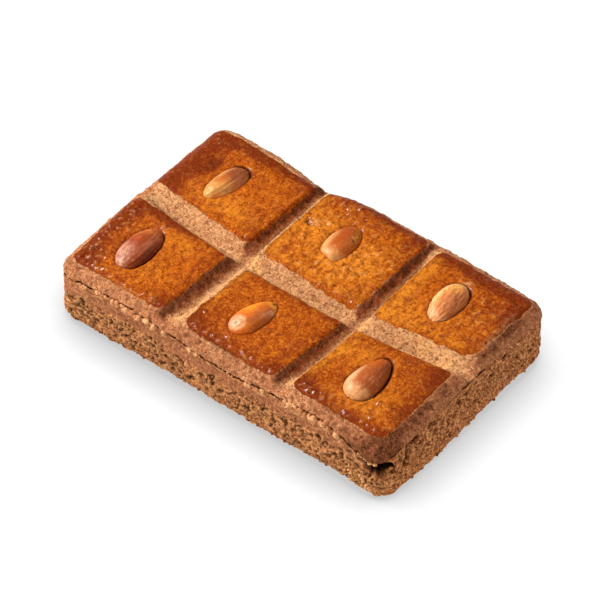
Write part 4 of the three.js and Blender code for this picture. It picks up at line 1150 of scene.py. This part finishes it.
    # where the layers have baked together, the side runs on smoothly
    relief = relief * (1 - 0.5 * SH * smooth(0.85, 1, tall))
    # the hollow under the drooping corner, painted near black as painted shade
    h = HOLLOW
    qh = np.sqrt(((x - h["x"]) ** 2 + (y - h["y"]) ** 2) / h["spread"] ** 2 + ((z - h["z"]) / h["tall"]) ** 2)
    qh = qh + 0.27 * noise(p, 3.2, 33) + 0.13 * noise(p, 1.4, 43)
    cave = 1 - smooth(0.74, 1.12, qh)
    hole_shade = np.minimum(hole_shade, 0.95)
    hole_shade = np.maximum(hole_shade, smooth(0.06, 0.42, cave))
    pale = pale * (1 - smooth(0.1, 0.5, cave))
    wall2 = wall + n * relief[:, None]
    push = cave * h["deep"] * (1 - 0.55 * smooth(0.90, 1.0, tall))
    wall2[:, 0] -= 0.50 * push
    wall2[:, 1] += 0.87 * push
    for m, ring in enumerate(top_rings[:-1]):
        keep = push[rings[0]] * (1 - 0.12 * m)
        v[ring, 0] -= 0.50 * keep
        v[ring, 1] += 0.87 * keep
    wall2[:, 2] = np.clip(wall2[:, 2], 0, None)
    wall2[rings[0], 2] = seam
    wall2[rings[-1], 2] = 0.0
    v[:nw] = wall2
    for m, (ring, k_in) in enumerate(zip(foot_rings, (0.985, 0.955, 0.88))):
        v[ring, :2] = wall2[rings[-1], :2] * k_in
    # how the colour runs
    full = len(v)

    def spread(val, fill=0.0):
        out = np.full(full, fill)
        out[:nw] = val
        return out

    band = front * smooth(0.62, 0.72, tall) * (1 - smooth(0.90, 1.0, tall)) * (1 - pale)
    bake_and_shade = 0.18 * rest + 0.30 * right + 0.25 * noise(p, 11, 35) + 0.10 * np.exp(-((tall - 0.99) / 0.05) ** 2) * right
    bake_and_shade = bake_and_shade + 0.75 * smooth(0.86, 1.0, tall) * SH * right + 0.3 * smooth(0.90, 1.0, tall) * SH * (1 - right) + 0.12 * right
    attrs = dict(hole_shade=spread(np.clip(hole_shade, 0, 1), 0.74), pale=spread(np.clip(pale, 0, 1)), bake_and_shade=spread(np.clip(bake_and_shade, 0, 1)), band=spread(band), toast=spread(np.clip(toast, 0, 1)))
    # map: four strips for the side, then the underside and a little for the hidden top
    quarter = cnt / 4.0
    strip = 0.185
    uv = []
    row = np.minimum((k / quarter).astype(int), 3)
    lo_u = 0.004 + 0.992 * (k - row * quarter) / quarter
    hi_u = 0.004 + 0.992 * (k + 1 - row * quarter) / quarter
    for m in range(rows - 1):
        tv = 0.996 - row * (strip + 0.004) - strip * m / (rows - 1)
        bv = 0.996 - row * (strip + 0.004) - strip * (m + 1) / (rows - 1)
        uv.append(np.stack([np.stack([lo_u, tv], 1), np.stack([lo_u, bv], 1), np.stack([hi_u, bv], 1), np.stack([hi_u, tv], 1)], 1).reshape(-1, 2))

    def plan(points, cu, cv, half_u):
        s = half_u / HX
        return np.stack([cu + points[:, 0] * s, cv + points[:, 1] * s], 1)

    tp = plan(v, 0.62, 0.118, 0.17)
    lp_ = plan(v * np.array([-1, 1, 1]), 0.20, 0.118, 0.175)
    uv.append(tp[top_q].reshape(-1, 2))
    uv.append(lp_[low_q].reshape(-1, 2))
    uv.append(tp[top_f].reshape(-1, 2))
    uv.append(lp_[low_f].reshape(-1, 2))
    which = np.concatenate([np.zeros(len(wall_q) + len(top_q)), np.ones(len(low_q)), np.zeros(len(top_f)), np.ones(len(low_f))])
    ob = make_object("base_dough", v, faces, attrs, np.concatenate(uv), [mat, under], which)
    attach(ob, "root")
    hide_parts("dough_base")
    return ob


# ---------------------------------------------------------------- almonds
def lerp(a, b, t):
    t = t[:, None]
    return np.array(a)[None] * (1 - t) + np.array(b)[None] * t


def build_almond(k, a, look):
    rings, around = 97, 72
    half = a["len"] / 2
    low = -half * (1 - a["cut"])
    i = np.arange(1, rings)
    u = -np.cos(np.pi * i / rings)
    w = 2 * np.pi * np.arange(around) / around
    U, W = np.meshgrid(u, w, indexing="ij")
    U, W = U.ravel(), W.ravel()
    R = np.maximum(0, 1 - np.abs(U) ** 2.2) ** 0.52 * (1 - a["tip"] * U)
    S, C = np.sin(W), np.cos(W)
    y = U * half
    x = a["wid"] / 2 * R * C
    if a["cut"]:
        soft = 0.35
        floor_ = low + a["slant"] * x
        y = floor_ + soft * np.logaddexp(0, (y - floor_) / soft)
    z = a["thk"] / 2 * R * np.sign(S) * np.abs(S) ** 1.12
    # skin: long shallow wrinkles, a keel along one edge, a small dent here and there
    turn = (C * 3.1, S * 3.1, U * look.get("run", 0.55))
    wr = noise(turn, 0.62, 101 + k) * 0.6 + noise(turn, 0.33, 121 + k) * 0.4
    lump = noise((x, y, z), 6.5, 141 + k)
    out = look["wrinkle"] * wr * (1 - np.abs(U) ** 4) + 0.10 * lump
    out = out + 0.16 * np.exp(-((C + 1.0) / 0.05) ** 2) * (1 - U ** 2)
    nrm = np.stack([C, 0.15 * U, S], 1)
    nrm /= np.linalg.norm(nrm, axis=1, keepdims=True)
    p = np.stack([x, y, z], 1) + nrm * out[:, None]
    for (du, dc, r, deep) in look.get("dents", []):
        q = ((p[:, 1] - du * half) ** 2 + (p[:, 0] - dc * a["wid"] / 2) ** 2) / r ** 2
        p[:, 2] -= deep * np.exp(-q * 1.6) * (S > 0)
    tips = np.array([[0, low if a["cut"] else -half, 0], [0, half, 0]])
    v = np.concatenate([p, tips])
    blunt, tip = len(p), len(p) + 1
    faces_q = []
    kk = np.arange(around)
    nn = (kk + 1) % around
    for r in range(rings - 2):
        p0, p1 = r * around, (r + 1) * around
        faces_q.append(np.stack([p0 + kk, p1 + kk, p1 + nn, p0 + nn], 1))
    last = (rings - 2) * around
    caps = np.concatenate([np.stack([np.full(around, blunt), kk, nn], 1), np.stack([np.full(around, tip), last + nn, last + kk], 1)])
    faces = [np.concatenate(faces_q), caps]
    # colours along and across, seen from above, with the painted highlights, reflections and shade that the colour
    # functions put in
    U2 = np.concatenate([U, [-1, 1]])
    C2 = np.concatenate([C * np.maximum(R, 0.2), [0, 0]])
    tint = look["colour"](U2, C2, v) * np.array(look["cast"])
    lines = np.concatenate([np.clip(0.5 - 0.9 * wr, 0, 1) * look["line"], [0, 0]])
    # turned and set in its place
    t = math.radians(a["turn"])
    x2 = v[:, 0] * math.cos(t) - v[:, 1] * math.sin(t) + a["x"]
    y2 = v[:, 0] * math.sin(t) + v[:, 1] * math.cos(t) + a["y"]
    z2 = v[:, 2] + almond_height(a)
    v = np.stack([x2, y2, z2], 1)
    uu = (W / (2 * np.pi)).reshape(rings - 1, around)
    uvq = []
    for r in range(rings - 2):
        u0 = kk / around
        u1 = (kk + 1) / around
        v0, v1 = 0.02 + 0.96 * (r + 1) / rings, 0.02 + 0.96 * (r + 2) / rings
        uvq.append(np.stack([np.stack([0.004 + 0.992 * u0, np.full(around, v0)], 1), np.stack([0.004 + 0.992 * u0, np.full(around, v1)], 1),
                             np.stack([0.004 + 0.992 * u1, np.full(around, v1)], 1), np.stack([0.004 + 0.992 * u1, np.full(around, v0)], 1)], 1).reshape(-1, 2))
    um = (kk + 0.5) / around
    v0 = 0.02 + 0.96 / rings
    v1 = 0.02 + 0.96 * (rings - 1) / rings
    uvq.append(np.stack([np.stack([0.004 + 0.992 * um, np.full(around, 0.004)], 1), np.stack([0.004 + 0.992 * kk / around, np.full(around, v0)], 1),
                         np.stack([0.004 + 0.992 * (kk + 1) / around, np.full(around, v0)], 1)], 1).reshape(-1, 2))
    uvq.append(np.stack([np.stack([0.004 + 0.992 * um, np.full(around, 0.996)], 1), np.stack([0.004 + 0.992 * (kk + 1) / around, np.full(around, v1)], 1),
                         np.stack([0.004 + 0.992 * kk / around, np.full(around, v1)], 1)], 1).reshape(-1, 2))
    mat = almond_material(f"almond_skin_{k + 1}", look["tone"], look["streak"], look["gloss"])
    ob = make_object(f"almond_{k + 1}_skin", v, faces, dict(tint=tint, lines=lines), np.concatenate(uvq), [mat])
    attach(ob, "root")
    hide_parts(f"almond_{k + 1}")
    return ob


def blend(col, tone, t):
    t = np.clip(t, 0, 1)[:, None]
    return col * (1 - t) + np.array(tone)[None] * t


def colour_1(u, c, v):
    n = noise((v[:, 0], v[:, 1] * 0.5, v[:, 2]), 2.6, 201)
    hair = noise((v[:, 0] * 2.2, v[:, 1] * 0.35, v[:, 2] * 2.2), 1.3, 211)
    col = lerp((0.330, 0.085, 0.030), (0.400, 0.125, 0.045), smooth(-1, 1, u))
    # painted reflection: a lighter pinkish band down the right side
    col = blend(col, (0.590, 0.360, 0.420), 0.8 * np.exp(-(((c - 0.50) / 0.20) ** 2)) * smooth(-0.6, 0.0, u) * smooth(0.9, 0.5, u) * (0.8 + 0.8 * hair))
    col = blend(col, (0.740, 0.380, 0.110), 0.9 * smooth(0.25, 0.62, u + 0.14 * n - 0.2 * c) * smooth(0.5, -0.1, c))
    # painted highlight: pinkish white streaks at the near end, on the left
    col = blend(col, (1.040, 1.060, 1.900), 0.95 * smooth(0.05, -0.60, u + 0.10 * n) * smooth(0.55, -0.35, c) * (0.70 + 0.9 * hair))
    col = blend(col, (0.720, 0.190, 0.050), 0.7 * np.exp(-(((u - 0.10) / 0.13) ** 2) - (((c + 0.28) / 0.20) ** 2)))
    # painted shade along the right edge
    return blend(col, (0.130, 0.028, 0.012), 0.85 * smooth(0.42, 0.85, c) * smooth(0.9, -0.1, u))


def colour_2(u, c, v):
    n = noise((v[:, 0], v[:, 1] * 0.5, v[:, 2]), 2.6, 202)
    hair = noise((v[:, 0] * 2.2, v[:, 1] * 0.35, v[:, 2] * 2.2), 1.3, 212)
    col = lerp((0.620, 0.230, 0.070), (0.600, 0.200, 0.030), smooth(-0.6, 0.6, u))
    # the left side yellow orange, partly the skin's own colour and partly painted light
    col = blend(col, (0.880, 0.460, 0.090), 0.95 * smooth(0.0, -0.45, c + 0.10 * n) * smooth(-0.45, 0.0, u))
    # painted shade on the right side
    col = blend(col, (0.370, 0.130, 0.055), 0.85 * smooth(0.02, 0.45, c + 0.15 * n) * smooth(-0.70, -0.2, u))
    # painted reflection: a pinkish white patch on the right of the far half
    col = blend(col, (0.740, 0.600, 1.100), 0.8 * np.exp(-(((u - 0.45) / 0.30) ** 2) - (((c - 0.62) / 0.15) ** 2)) * (0.8 + 0.8 * hair))
    col = blend(col, (0.940, 0.660, 0.260), 0.9 * smooth(0.55, 0.85, u))
    # a pale pinkish patch at the near end with the skin's wrinkle rings, partly the skin's own colour and partly
    # painted highlight
    q = np.sqrt(((v[:, 1] + 7.4) / 3.4) ** 2 + ((v[:, 0] + 0.6) / 3.6) ** 2) + 0.10 * n
    rings = 0.5 + 0.5 * np.sin(q * 12.0 + 3.0 * n)
    col = blend(col, (0.840, 0.720, 1.350), 0.9 * (1 - smooth(0.75, 1.1, q)))
    col = blend(col, (0.460, 0.180, 0.100), 0.62 * rings * (1 - smooth(0.6, 1.0, q)))
    q = np.hypot((u - 0.90) / 0.085, (c - 0.10) / 0.14)
    return blend(col, (0.045, 0.020, 0.006), 0.95 * (1 - smooth(0.5, 1.2, q)))


def colour_3(u, c, v):
    n = noise((v[:, 0], v[:, 1] * 0.5, v[:, 2]), 2.8, 203)
    hair = noise((v[:, 0] * 2.2, v[:, 1] * 0.30, v[:, 2] * 2.2), 1.2, 213)
    # painted shade: darker towards the right side
    col = lerp((0.580, 0.215, 0.070), (0.400, 0.140, 0.045), smooth(-0.35, 0.55, c))
    # painted light: the left edge pale, except at the far end
    col = blend(col, (1.060, 1.080, 1.250), 0.95 * smooth(-0.24, -0.68, c + 0.1 * n) * smooth(0.5, -0.2, u))
    # painted highlight at the near end
    col = blend(col, (1.000, 0.880, 0.800), 0.9 * smooth(-0.45, -0.80, u + 0.1 * n))
    col = blend(col, (0.720, 0.250, 0.025), 0.9 * smooth(0.15, 0.5, u) * smooth(0.25, -0.2, c))
    # painted shade on the right side of the far half
    col = blend(col, (0.300, 0.110, 0.060), 0.8 * smooth(0.20, 0.6, u) * smooth(0.1, 0.5, c))
    col = blend(col, (0.760, 0.470, 0.280), 0.5 * smooth(0.20, 0.5, hair) * smooth(0.5, 0.0, u))
    return blend(col, (0.130, 0.016, 0.006), 0.95 * smooth(0.82, 0.91, u + 0.06 * n) * smooth(0.45, 0.0, c))


def colour_4(u, c, v):
    # this almond lies the other way round: +1 is its near end, +1 across is its left side
    n = noise((v[:, 0], v[:, 1] * 0.5, v[:, 2]), 2.6, 204)
    hair = noise((v[:, 0] * 2.2, v[:, 1] * 0.35, v[:, 2] * 2.2), 1.3, 214)
    col = lerp((0.400, 0.175, 0.110), (0.960, 0.880, 0.460), smooth(-0.2, 0.5, u + 0.12 * n))
    # the left side of the far half pale yellow, partly the skin's own colour and partly painted light
    col = blend(col, (0.970, 0.930, 0.520), 0.9 * smooth(0.15, 0.6, c + 0.12 * n) * smooth(-0.95, -0.4, u))
    col = blend(col, (0.330, 0.130, 0.085), 0.9 * smooth(0.10, -0.30, u) * np.exp(-(((c - 0.0) / 0.42) ** 2)) * (0.8 + 0.6 * n))
    col = blend(col, (0.780, 0.280, 0.030), 0.9 * np.exp(-(((u - 0.12) / 0.25) ** 2) - (((c - 0.10) / 0.45) ** 2)))
    col = blend(col, (0.780, 0.500, 0.330), 0.7 * smooth(-0.40, -0.75, c) * (0.8 + 0.7 * hair))
    return blend(col, (0.760, 0.340, 0.045), 0.7 * smooth(0.45, 0.8, u) * smooth(-0.1, -0.6, c))


def colour_5(u, c, v):
    n = noise((v[:, 0], v[:, 1] * 0.5, v[:, 2]), 2.6, 205)
    hair = noise((v[:, 0] * 2.2, v[:, 1] * 0.35, v[:, 2] * 2.2), 1.3, 215)
    col = lerp((0.620, 0.200, 0.030), (0.520, 0.150, 0.016), smooth(-0.7, 0.4, u))
    # painted light: the left side pale, except at the far end
    col = blend(col, (1.040, 0.900, 1.900), 0.9 * smooth(-0.20, -0.70, c + 0.12 * n) * smooth(0.6, -0.1, u))
    # painted highlight at the near end
    col = blend(col, (1.000, 0.800, 1.500), 0.9 * smooth(-0.35, -0.75, u + 0.1 * n))
    col = blend(col, (0.600, 0.290, 0.160), 0.85 * smooth(0.15, 0.55, c + 0.2 * n) * smooth(-0.6, 0.0, u) * (0.85 + 0.6 * hair))
    col = blend(col, (0.740, 0.350, 0.120), 0.7 * smooth(0.55, 0.9, u))
    q = np.hypot((u - 0.36) / 0.12, (c - 0.50) / 0.15) + 0.5 * noise(tuple(v.T), 0.9, 225)
    col = blend(col, (0.980, 0.740, 1.000), 0.5 * (1 - smooth(0.3, 1.3, q)))
    q = np.hypot((u - 0.22) / 0.05, (c - 0.64) / 0.10)
    col = blend(col, (0.120, 0.045, 0.016), 0.85 * (1 - smooth(0.5, 1.2, q)))
    q = np.hypot((v[:, 1] + 8.2) / 1.3, (v[:, 0] - 2.6) / 2.0) + 0.4 * n
    return blend(col, (0.380, 0.220, 0.160), 0.40 * (1 - smooth(0.4, 1.2, q)))


def colour_6(u, c, v):
    n = noise((v[:, 0], v[:, 1] * 0.5, v[:, 2]), 2.4, 206)
    hair = noise((v[:, 0] * 1.8 + 0.5 * v[:, 1], v[:, 1] * 0.5, v[:, 2] * 1.8), 1.6, 216)
    col = lerp((0.640, 0.310, 0.160), (0.580, 0.270, 0.110), smooth(-0.2, 0.8, u))
    col = blend(col, (0.900, 0.640, 0.220), 0.9 * smooth(0.15, 0.65, u + 0.12 * n) * smooth(0.75, 0.0, c))
    # painted shade on the right side of the near half
    col = blend(col, (0.330, 0.135, 0.070), 0.8 * smooth(0.05, 0.5, c + 0.15 * n) * smooth(0.75, 0.2, u))
    # painted light: the left edge pale
    col = blend(col, (0.980, 0.800, 0.520), 0.95 * smooth(-0.20, -0.70, c + 0.1 * n))
    # painted highlight at the near end
    col = blend(col, (0.900, 0.640, 0.480), 0.8 * smooth(-0.5, -0.9, u))
    return blend(col, (0.420, 0.160, 0.060), 0.52 * smooth(0.05, 0.45, hair))


LOOKS = [
    dict(colour=colour_1, wrinkle=0.13, line=0.9, tone=(0.246, 0.037, 0.008), streak=0.28, gloss=0.50, cast=(0.82, 0.40, 0.14),
         dents=[(0.62, -0.30, 1.2, 0.35), (0.80, -0.05, 0.9, 0.25)]),
    dict(colour=colour_2, wrinkle=0.09, line=0.7, tone=(0.530, 0.119, 0.013), streak=0.22, gloss=0.50, cast=(1.12, 0.68, 0.19),
         dents=[(0.88, 0.10, 0.8, 0.8), (-0.72, -0.05, 1.1, 0.30), (-0.60, -0.30, 0.9, 0.22)]),
    dict(colour=colour_3, wrinkle=0.07, line=0.6, tone=(0.352, 0.070, 0.011), streak=0.20, gloss=0.50, cast=(0.80, 0.44, 0.18),
         dents=[(0.93, -0.10, 1.0, 0.5)]),
    dict(colour=colour_4, wrinkle=0.15, line=0.9, tone=(0.484, 0.122, 0.020), streak=0.24, gloss=0.50, cast=(0.76, 0.40, 0.17),
         dents=[(0.74, 0.10, 0.9, 0.5)]),
    dict(colour=colour_5, wrinkle=0.08, line=0.6, tone=(0.432, 0.087, 0.007), streak=0.18, gloss=0.50, cast=(0.78, 0.45, 0.07),
         dents=[(0.24, 0.66, 0.9, 0.55), (0.42, 0.52, 0.9, 0.35)]),
    dict(colour=colour_6, wrinkle=0.24, line=1.0, run=1.9, tone=(0.605, 0.187, 0.048), streak=0.36, gloss=0.50, cast=(1.24, 0.84, 0.46)),
]


# ---------------------------------------------------------------- crumbs
def sphere_parts(level):
    t = (1 + 5 ** 0.5) / 2
    v = np.array([(-1, t, 0), (1, t, 0), (-1, -t, 0), (1, -t, 0), (0, -1, t), (0, 1, t), (0, -1, -t), (0, 1, -t),
                  (t, 0, -1), (t, 0, 1), (-t, 0, -1), (-t, 0, 1)], float)
    f = np.array([(0, 11, 5), (0, 5, 1), (0, 1, 7), (0, 7, 10), (0, 10, 11), (1, 5, 9), (5, 11, 4), (11, 10, 2), (10, 7, 6), (7, 1, 8),
                  (3, 9, 4), (3, 4, 2), (3, 2, 6), (3, 6, 8), (3, 8, 9), (4, 9, 5), (2, 4, 11), (6, 2, 10), (8, 6, 7), (9, 8, 1)])
    v /= np.linalg.norm(v, axis=1, keepdims=True)
    for _ in range(level):
        mids, out, verts = {}, [], list(v)

        def mid(a, b):
            key = (min(a, b), max(a, b))
            if key not in mids:
                m = verts[a] + verts[b]
                verts.append(m / np.linalg.norm(m))
                mids[key] = len(verts) - 1
            return mids[key]

        for a, b, c in f:
            ab, bc, ca = mid(a, b), mid(b, c), mid(c, a)
            out += [(a, ab, ca), (b, bc, ab), (c, ca, bc), (ab, bc, ca)]
        v, f = np.array(verts), np.array(out)
    return v, f


def build_crumbs(mat):
    rng = np.random.default_rng(7)
    balls = (sphere_parts(1), sphere_parts(2))
    verts, faces, tints = [], [], []
    count = 0

    def add(x, y, z, r, tint, squash=0.8):
        nonlocal count
        seed = int(rng.integers(1, 9000))
        ball, ball_faces = balls[int(r > 0.5)]
        p = ball * r
        rad = 1 + 0.30 * noise((p[:, 0] + x * 3, p[:, 1] + y * 3, p[:, 2]), r * 1.3, seed) + 0.14 * noise(tuple(p.T), r * 0.55, seed + 5)
        p = p * rad[:, None] * np.array([1, rng.uniform(0.7, 1.0), squash])
        ang = rng.uniform(0, 2 * math.pi)
        c, s = math.cos(ang), math.sin(ang)
        p = np.stack([p[:, 0] * c - p[:, 1] * s, p[:, 0] * s + p[:, 1] * c, p[:, 2]], 1)
        p = p + np.array([x, y, z])
        p[:, 2] = np.maximum(p[:, 2], 0.0)
        verts.append(p)
        faces.append(ball_faces + count)
        tints.append(np.tile(np.array(tint) * rng.uniform(0.85, 1.12), (len(p), 1)))
        count += len(p)

    def side_point(bx, by, share, out):
        """A point on the bottom layer's side, out mm proud of it."""
        bx, by = np.array([float(bx)]), np.array([float(by)])
        rx, ry = rim_of(bx, by)
        zz = seam_height(rx, ry) * share
        ins = side_inset(rx, ry, zz, np.array([share]), seam_shut(rx, ry))
        px, py, _, _, _ = on_slab(bx, by, ins - out)
        return float(px[0]), float(py[0]), float(zz[0])

    # stuck along the lower edge, most of them at the front
    for _ in range(340):
        pick = rng.uniform()
        if pick < 0.55:
            bx, by = rng.uniform(-76, 78), -HY
        elif pick < 0.65:
            bx, by = HX, rng.uniform(-47, 47)
        elif pick < 0.9:
            bx, by = rng.uniform(-76, 76), HY
        else:
            bx, by = -HX, rng.uniform(-47, 47)
        r = 0.36 + 0.62 * rng.uniform() ** 2
        x, y, z = side_point(bx, by, rng.uniform(0.0, 0.12), rng.uniform(-0.15, 0.25))
        add(x, y, max(z, r * 0.55), r, FOOT_TONES[int(rng.integers(0, 4))])
    # lumps below the hollow at the near corner, and a fringe of them under the sheet's lip
    for _ in range(110):
        bx = rng.uniform(62, 77)
        x, y, z = side_point(bx, -HY, rng.uniform(0.03, 0.50 - 0.022 * max(bx - 66, 0)), rng.uniform(-0.5, 0.15))
        add(x, y, z, rng.uniform(0.4, 1.0), PALE_CRUMB_AND_HIGHLIGHT if rng.uniform() < 0.55 else (0.42, 0.17, 0.055))
    for _ in range(46):
        low = rng.uniform() < 0.6
        bx, by = (rng.uniform(70, 79), -HY) if low else (HX, rng.uniform(-49, -42.5))
        x, y, z = side_point(bx, by, rng.uniform(0.50, 0.70) if low else rng.uniform(0.55, 0.93), rng.uniform(-0.7, 0.0))
        add(x, y, z, rng.uniform(0.35, 0.85), ((0.42, 0.17, 0.055), (0.26, 0.085, 0.028), (0.62, 0.29, 0.10))[int(rng.integers(0, 3))])
    for _ in range(26):
        bx = rng.uniform(65.5, 75.5)
        x, y, z = side_point(bx, -HY, rng.uniform(0.97, 1.02), rng.uniform(-0.9, -0.2))
        add(x, y, z, rng.uniform(0.35, 0.75), PALE_CRUMB_AND_HIGHLIGHT if rng.uniform() < 0.6 else (0.50, 0.25, 0.07))
    # broken lumps that bridge the seam at the front
    for (cx, cz, hl, hh, out) in FRONT_LUMPS:
        for m in range(6):
            off = rng.uniform(-0.85, 0.85) * hl
            x, y, z = side_point(cx + off, -HY, 1.0, rng.uniform(-0.15, 0.3))
            add(x, y, z - rng.uniform(-0.05, 0.95) * hh, rng.uniform(0.50, 0.95) * min(hh, 1.6), LUMP_TONES[int(rng.integers(0, 3))], 0.85)
    # crumbs along the rest of the seam
    for _ in range(90):
        bx = rng.uniform(-74, 64)
        x, y, z = side_point(bx, -HY, rng.uniform(0.945, 1.012), rng.uniform(-0.45, 0.0))
        add(x, y, z, 0.24 + 0.34 * rng.uniform() ** 2, LUMP_TONES[int(rng.integers(0, 3))])
    # in the pit of the fifth square
    for (cx, cy) in [(-15.2, 26.6), (-14.3, 25.9), (-14.9, 25.2), (-16.2, 27.6), (-17.9, 27.4), (-13.6, 26.8)]:
        add(cx, cy, 29.75, 0.5, PALE_CRUMB_AND_HIGHLIGHT)
    v = np.concatenate(verts)
    ob = make_object("stuck_crumbs", v, [np.concatenate(faces)], dict(tint=np.concatenate(tints)), None, [mat])
    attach(ob, "root")
    return ob


# ---------------------------------------------------------------- build
lid = build_lid(lid_material())
base = build_base(base_material(), under_material())
for k, a in enumerate(ALMONDS):
    build_almond(k, a, LOOKS[k])
crumbs = build_crumbs(crumb_material())


# ---------------------------------------------------------------- stage, light and camera
def stage_material(name, glow, body):
    m = bpy.data.materials.new(name)
    m.use_nodes = True
    t = m.node_tree
    t.nodes.clear()
    out = t.nodes.new("ShaderNodeOutputMaterial")
    em = t.nodes.new("ShaderNodeEmission")
    em.inputs["Color"].default_value = (1, 1, 1, 1)
    em.inputs["Strength"].default_value = glow
    if body:
        # painted contact shadow: the floor's glow is dimmed by ambient occlusion close to the slab, as under a very
        # wide soft light
        ao = t.nodes.new("ShaderNodeAmbientOcclusion")
        ao.samples = 16
        ao.inputs["Distance"].default_value = 0.026
        ramp = t.nodes.new("ShaderNodeMapRange")
        ramp.inputs["From Min"].default_value = 0.45
        ramp.inputs["From Max"].default_value = 0.86
        ramp.inputs["To Min"].default_value = glow * 0.56
        ramp.inputs["To Max"].default_value = glow
        t.links.new(ao.outputs["AO"], ramp.inputs["Value"])
        t.links.new(ramp.outputs["Result"], em.inputs["Strength"])
        di = t.nodes.new("ShaderNodeBsdfDiffuse")
        di.inputs["Color"].default_value = (body * 0.97, body, body * 1.04, 1)
        add = t.nodes.new("ShaderNodeAddShader")
        t.links.new(em.outputs[0], add.inputs[0])
        t.links.new(di.outputs[0], add.inputs[1])
        t.links.new(add.outputs[0], out.inputs[0])
    else:
        t.links.new(em.outputs[0], out.inputs[0])
    return m


def flat_object(name, verts, faces, mat):
    me = bpy.data.meshes.new(name)
    me.from_pydata(verts, [], faces)
    me.materials.append(mat)
    ob = bpy.data.objects.new(name, me)
    bpy.context.scene.collection.objects.link(ob)
    return ob


FLOOR_GLOW, FLOOR_BODY = 0.985, 0.05
s = 4.0
flat_object("floor", [(-s, -s, 0), (s, -s, 0), (s, s, 0), (-s, s, 0)], [(0, 1, 2, 3)], stage_material("floor_white", FLOOR_GLOW, FLOOR_BODY))
sv, sf = sphere_parts(3)
dome = flat_object("backdrop", [tuple(p * 12.0) for p in sv], [tuple(int(i) for i in f) for f in sf], stage_material("backdrop_white", 1.0, 0))
dome.visible_diffuse = False
dome.visible_glossy = False
dome.visible_transmission = False
dome.visible_shadow = False

world = bpy.data.worlds.new("studio")
world.use_nodes = True
world.node_tree.nodes["Background"].inputs["Color"].default_value = (1.0, 0.98, 0.97, 1)
world.node_tree.nodes["Background"].inputs["Strength"].default_value = 0.10
bpy.context.scene.world = world


def area_light(name, at, aim, size, power, colour=(1, 1, 1), gloss=True):
    ld = bpy.data.lights.new(name, "AREA")
    ld.shape = "RECTANGLE"
    ld.size, ld.size_y = size
    ld.energy = power
    ld.color = colour
    ob = bpy.data.objects.new(name, ld)
    bpy.context.scene.collection.objects.link(ob)
    ob.location = at
    ob.rotation_euler = (Vector(aim) - Vector(at)).to_track_quat("-Z", "Y").to_euler()
    ob.visible_glossy = gloss
    ob.visible_camera = False
    return ob


area_light("key", (-0.98, -0.26, 0.94), (0, 0, 0.02), (0.55, 0.55), 23.0, (1.0, 0.985, 0.955))
area_light("front_fill", (-0.30, -1.20, 0.60), (0, 0, 0.02), (0.9, 0.6), 7.5, (1.0, 0.97, 0.95), gloss=False)
area_light("right_fill", (1.10, -0.45, 0.34), (0, 0, 0.02), (0.6, 0.4), 4.2, (1.0, 0.96, 0.92), gloss=False)
area_light("top_fill", (0.10, 0.75, 1.20), (0, 0, 0), (1.0, 1.0), 7.0, (1.0, 0.98, 0.97), gloss=False)

# the camera stands where the outline of the slab says the photograph was taken from
AZ, EL, ROLL = math.radians(38.4092), math.radians(45.1015), math.radians(0.3948)
DIST, TX, TY = 1.8, -0.0117198, 0.0138795
back = Vector((math.sin(AZ) * math.cos(EL), -math.cos(AZ) * math.cos(EL), math.sin(EL)))
right_ = Vector((math.cos(AZ), math.sin(AZ), 0))
up_ = back.cross(right_)
R_ = math.cos(ROLL) * right_ + math.sin(ROLL) * up_
U_ = -math.sin(ROLL) * right_ + math.cos(ROLL) * up_
place = Vector((TX, TY, 0)) + back * DIST
cam_data = bpy.data.cameras.new("camera")
cam_data.sensor_width = 36.0
cam_data.sensor_fit = "HORIZONTAL"
cam_data.lens = 281.735
cam_data.clip_start, cam_data.clip_end = 0.1, 60.0
cam = bpy.data.objects.new("camera", cam_data)
bpy.context.scene.collection.objects.link(cam)
m = Matrix.Identity(4)
for r in range(3):
    m[r][0], m[r][1], m[r][2], m[r][3] = R_[r], U_[r], back[r], place[r]
cam.matrix_world = m
bpy.context.scene.camera = cam

bpy.context.scene.view_settings.view_transform = "Standard"
bpy.context.scene.view_settings.look = "None"
bpy.context.scene.view_settings.exposure = 0.0
bpy.context.scene.view_settings.gamma = 1.0
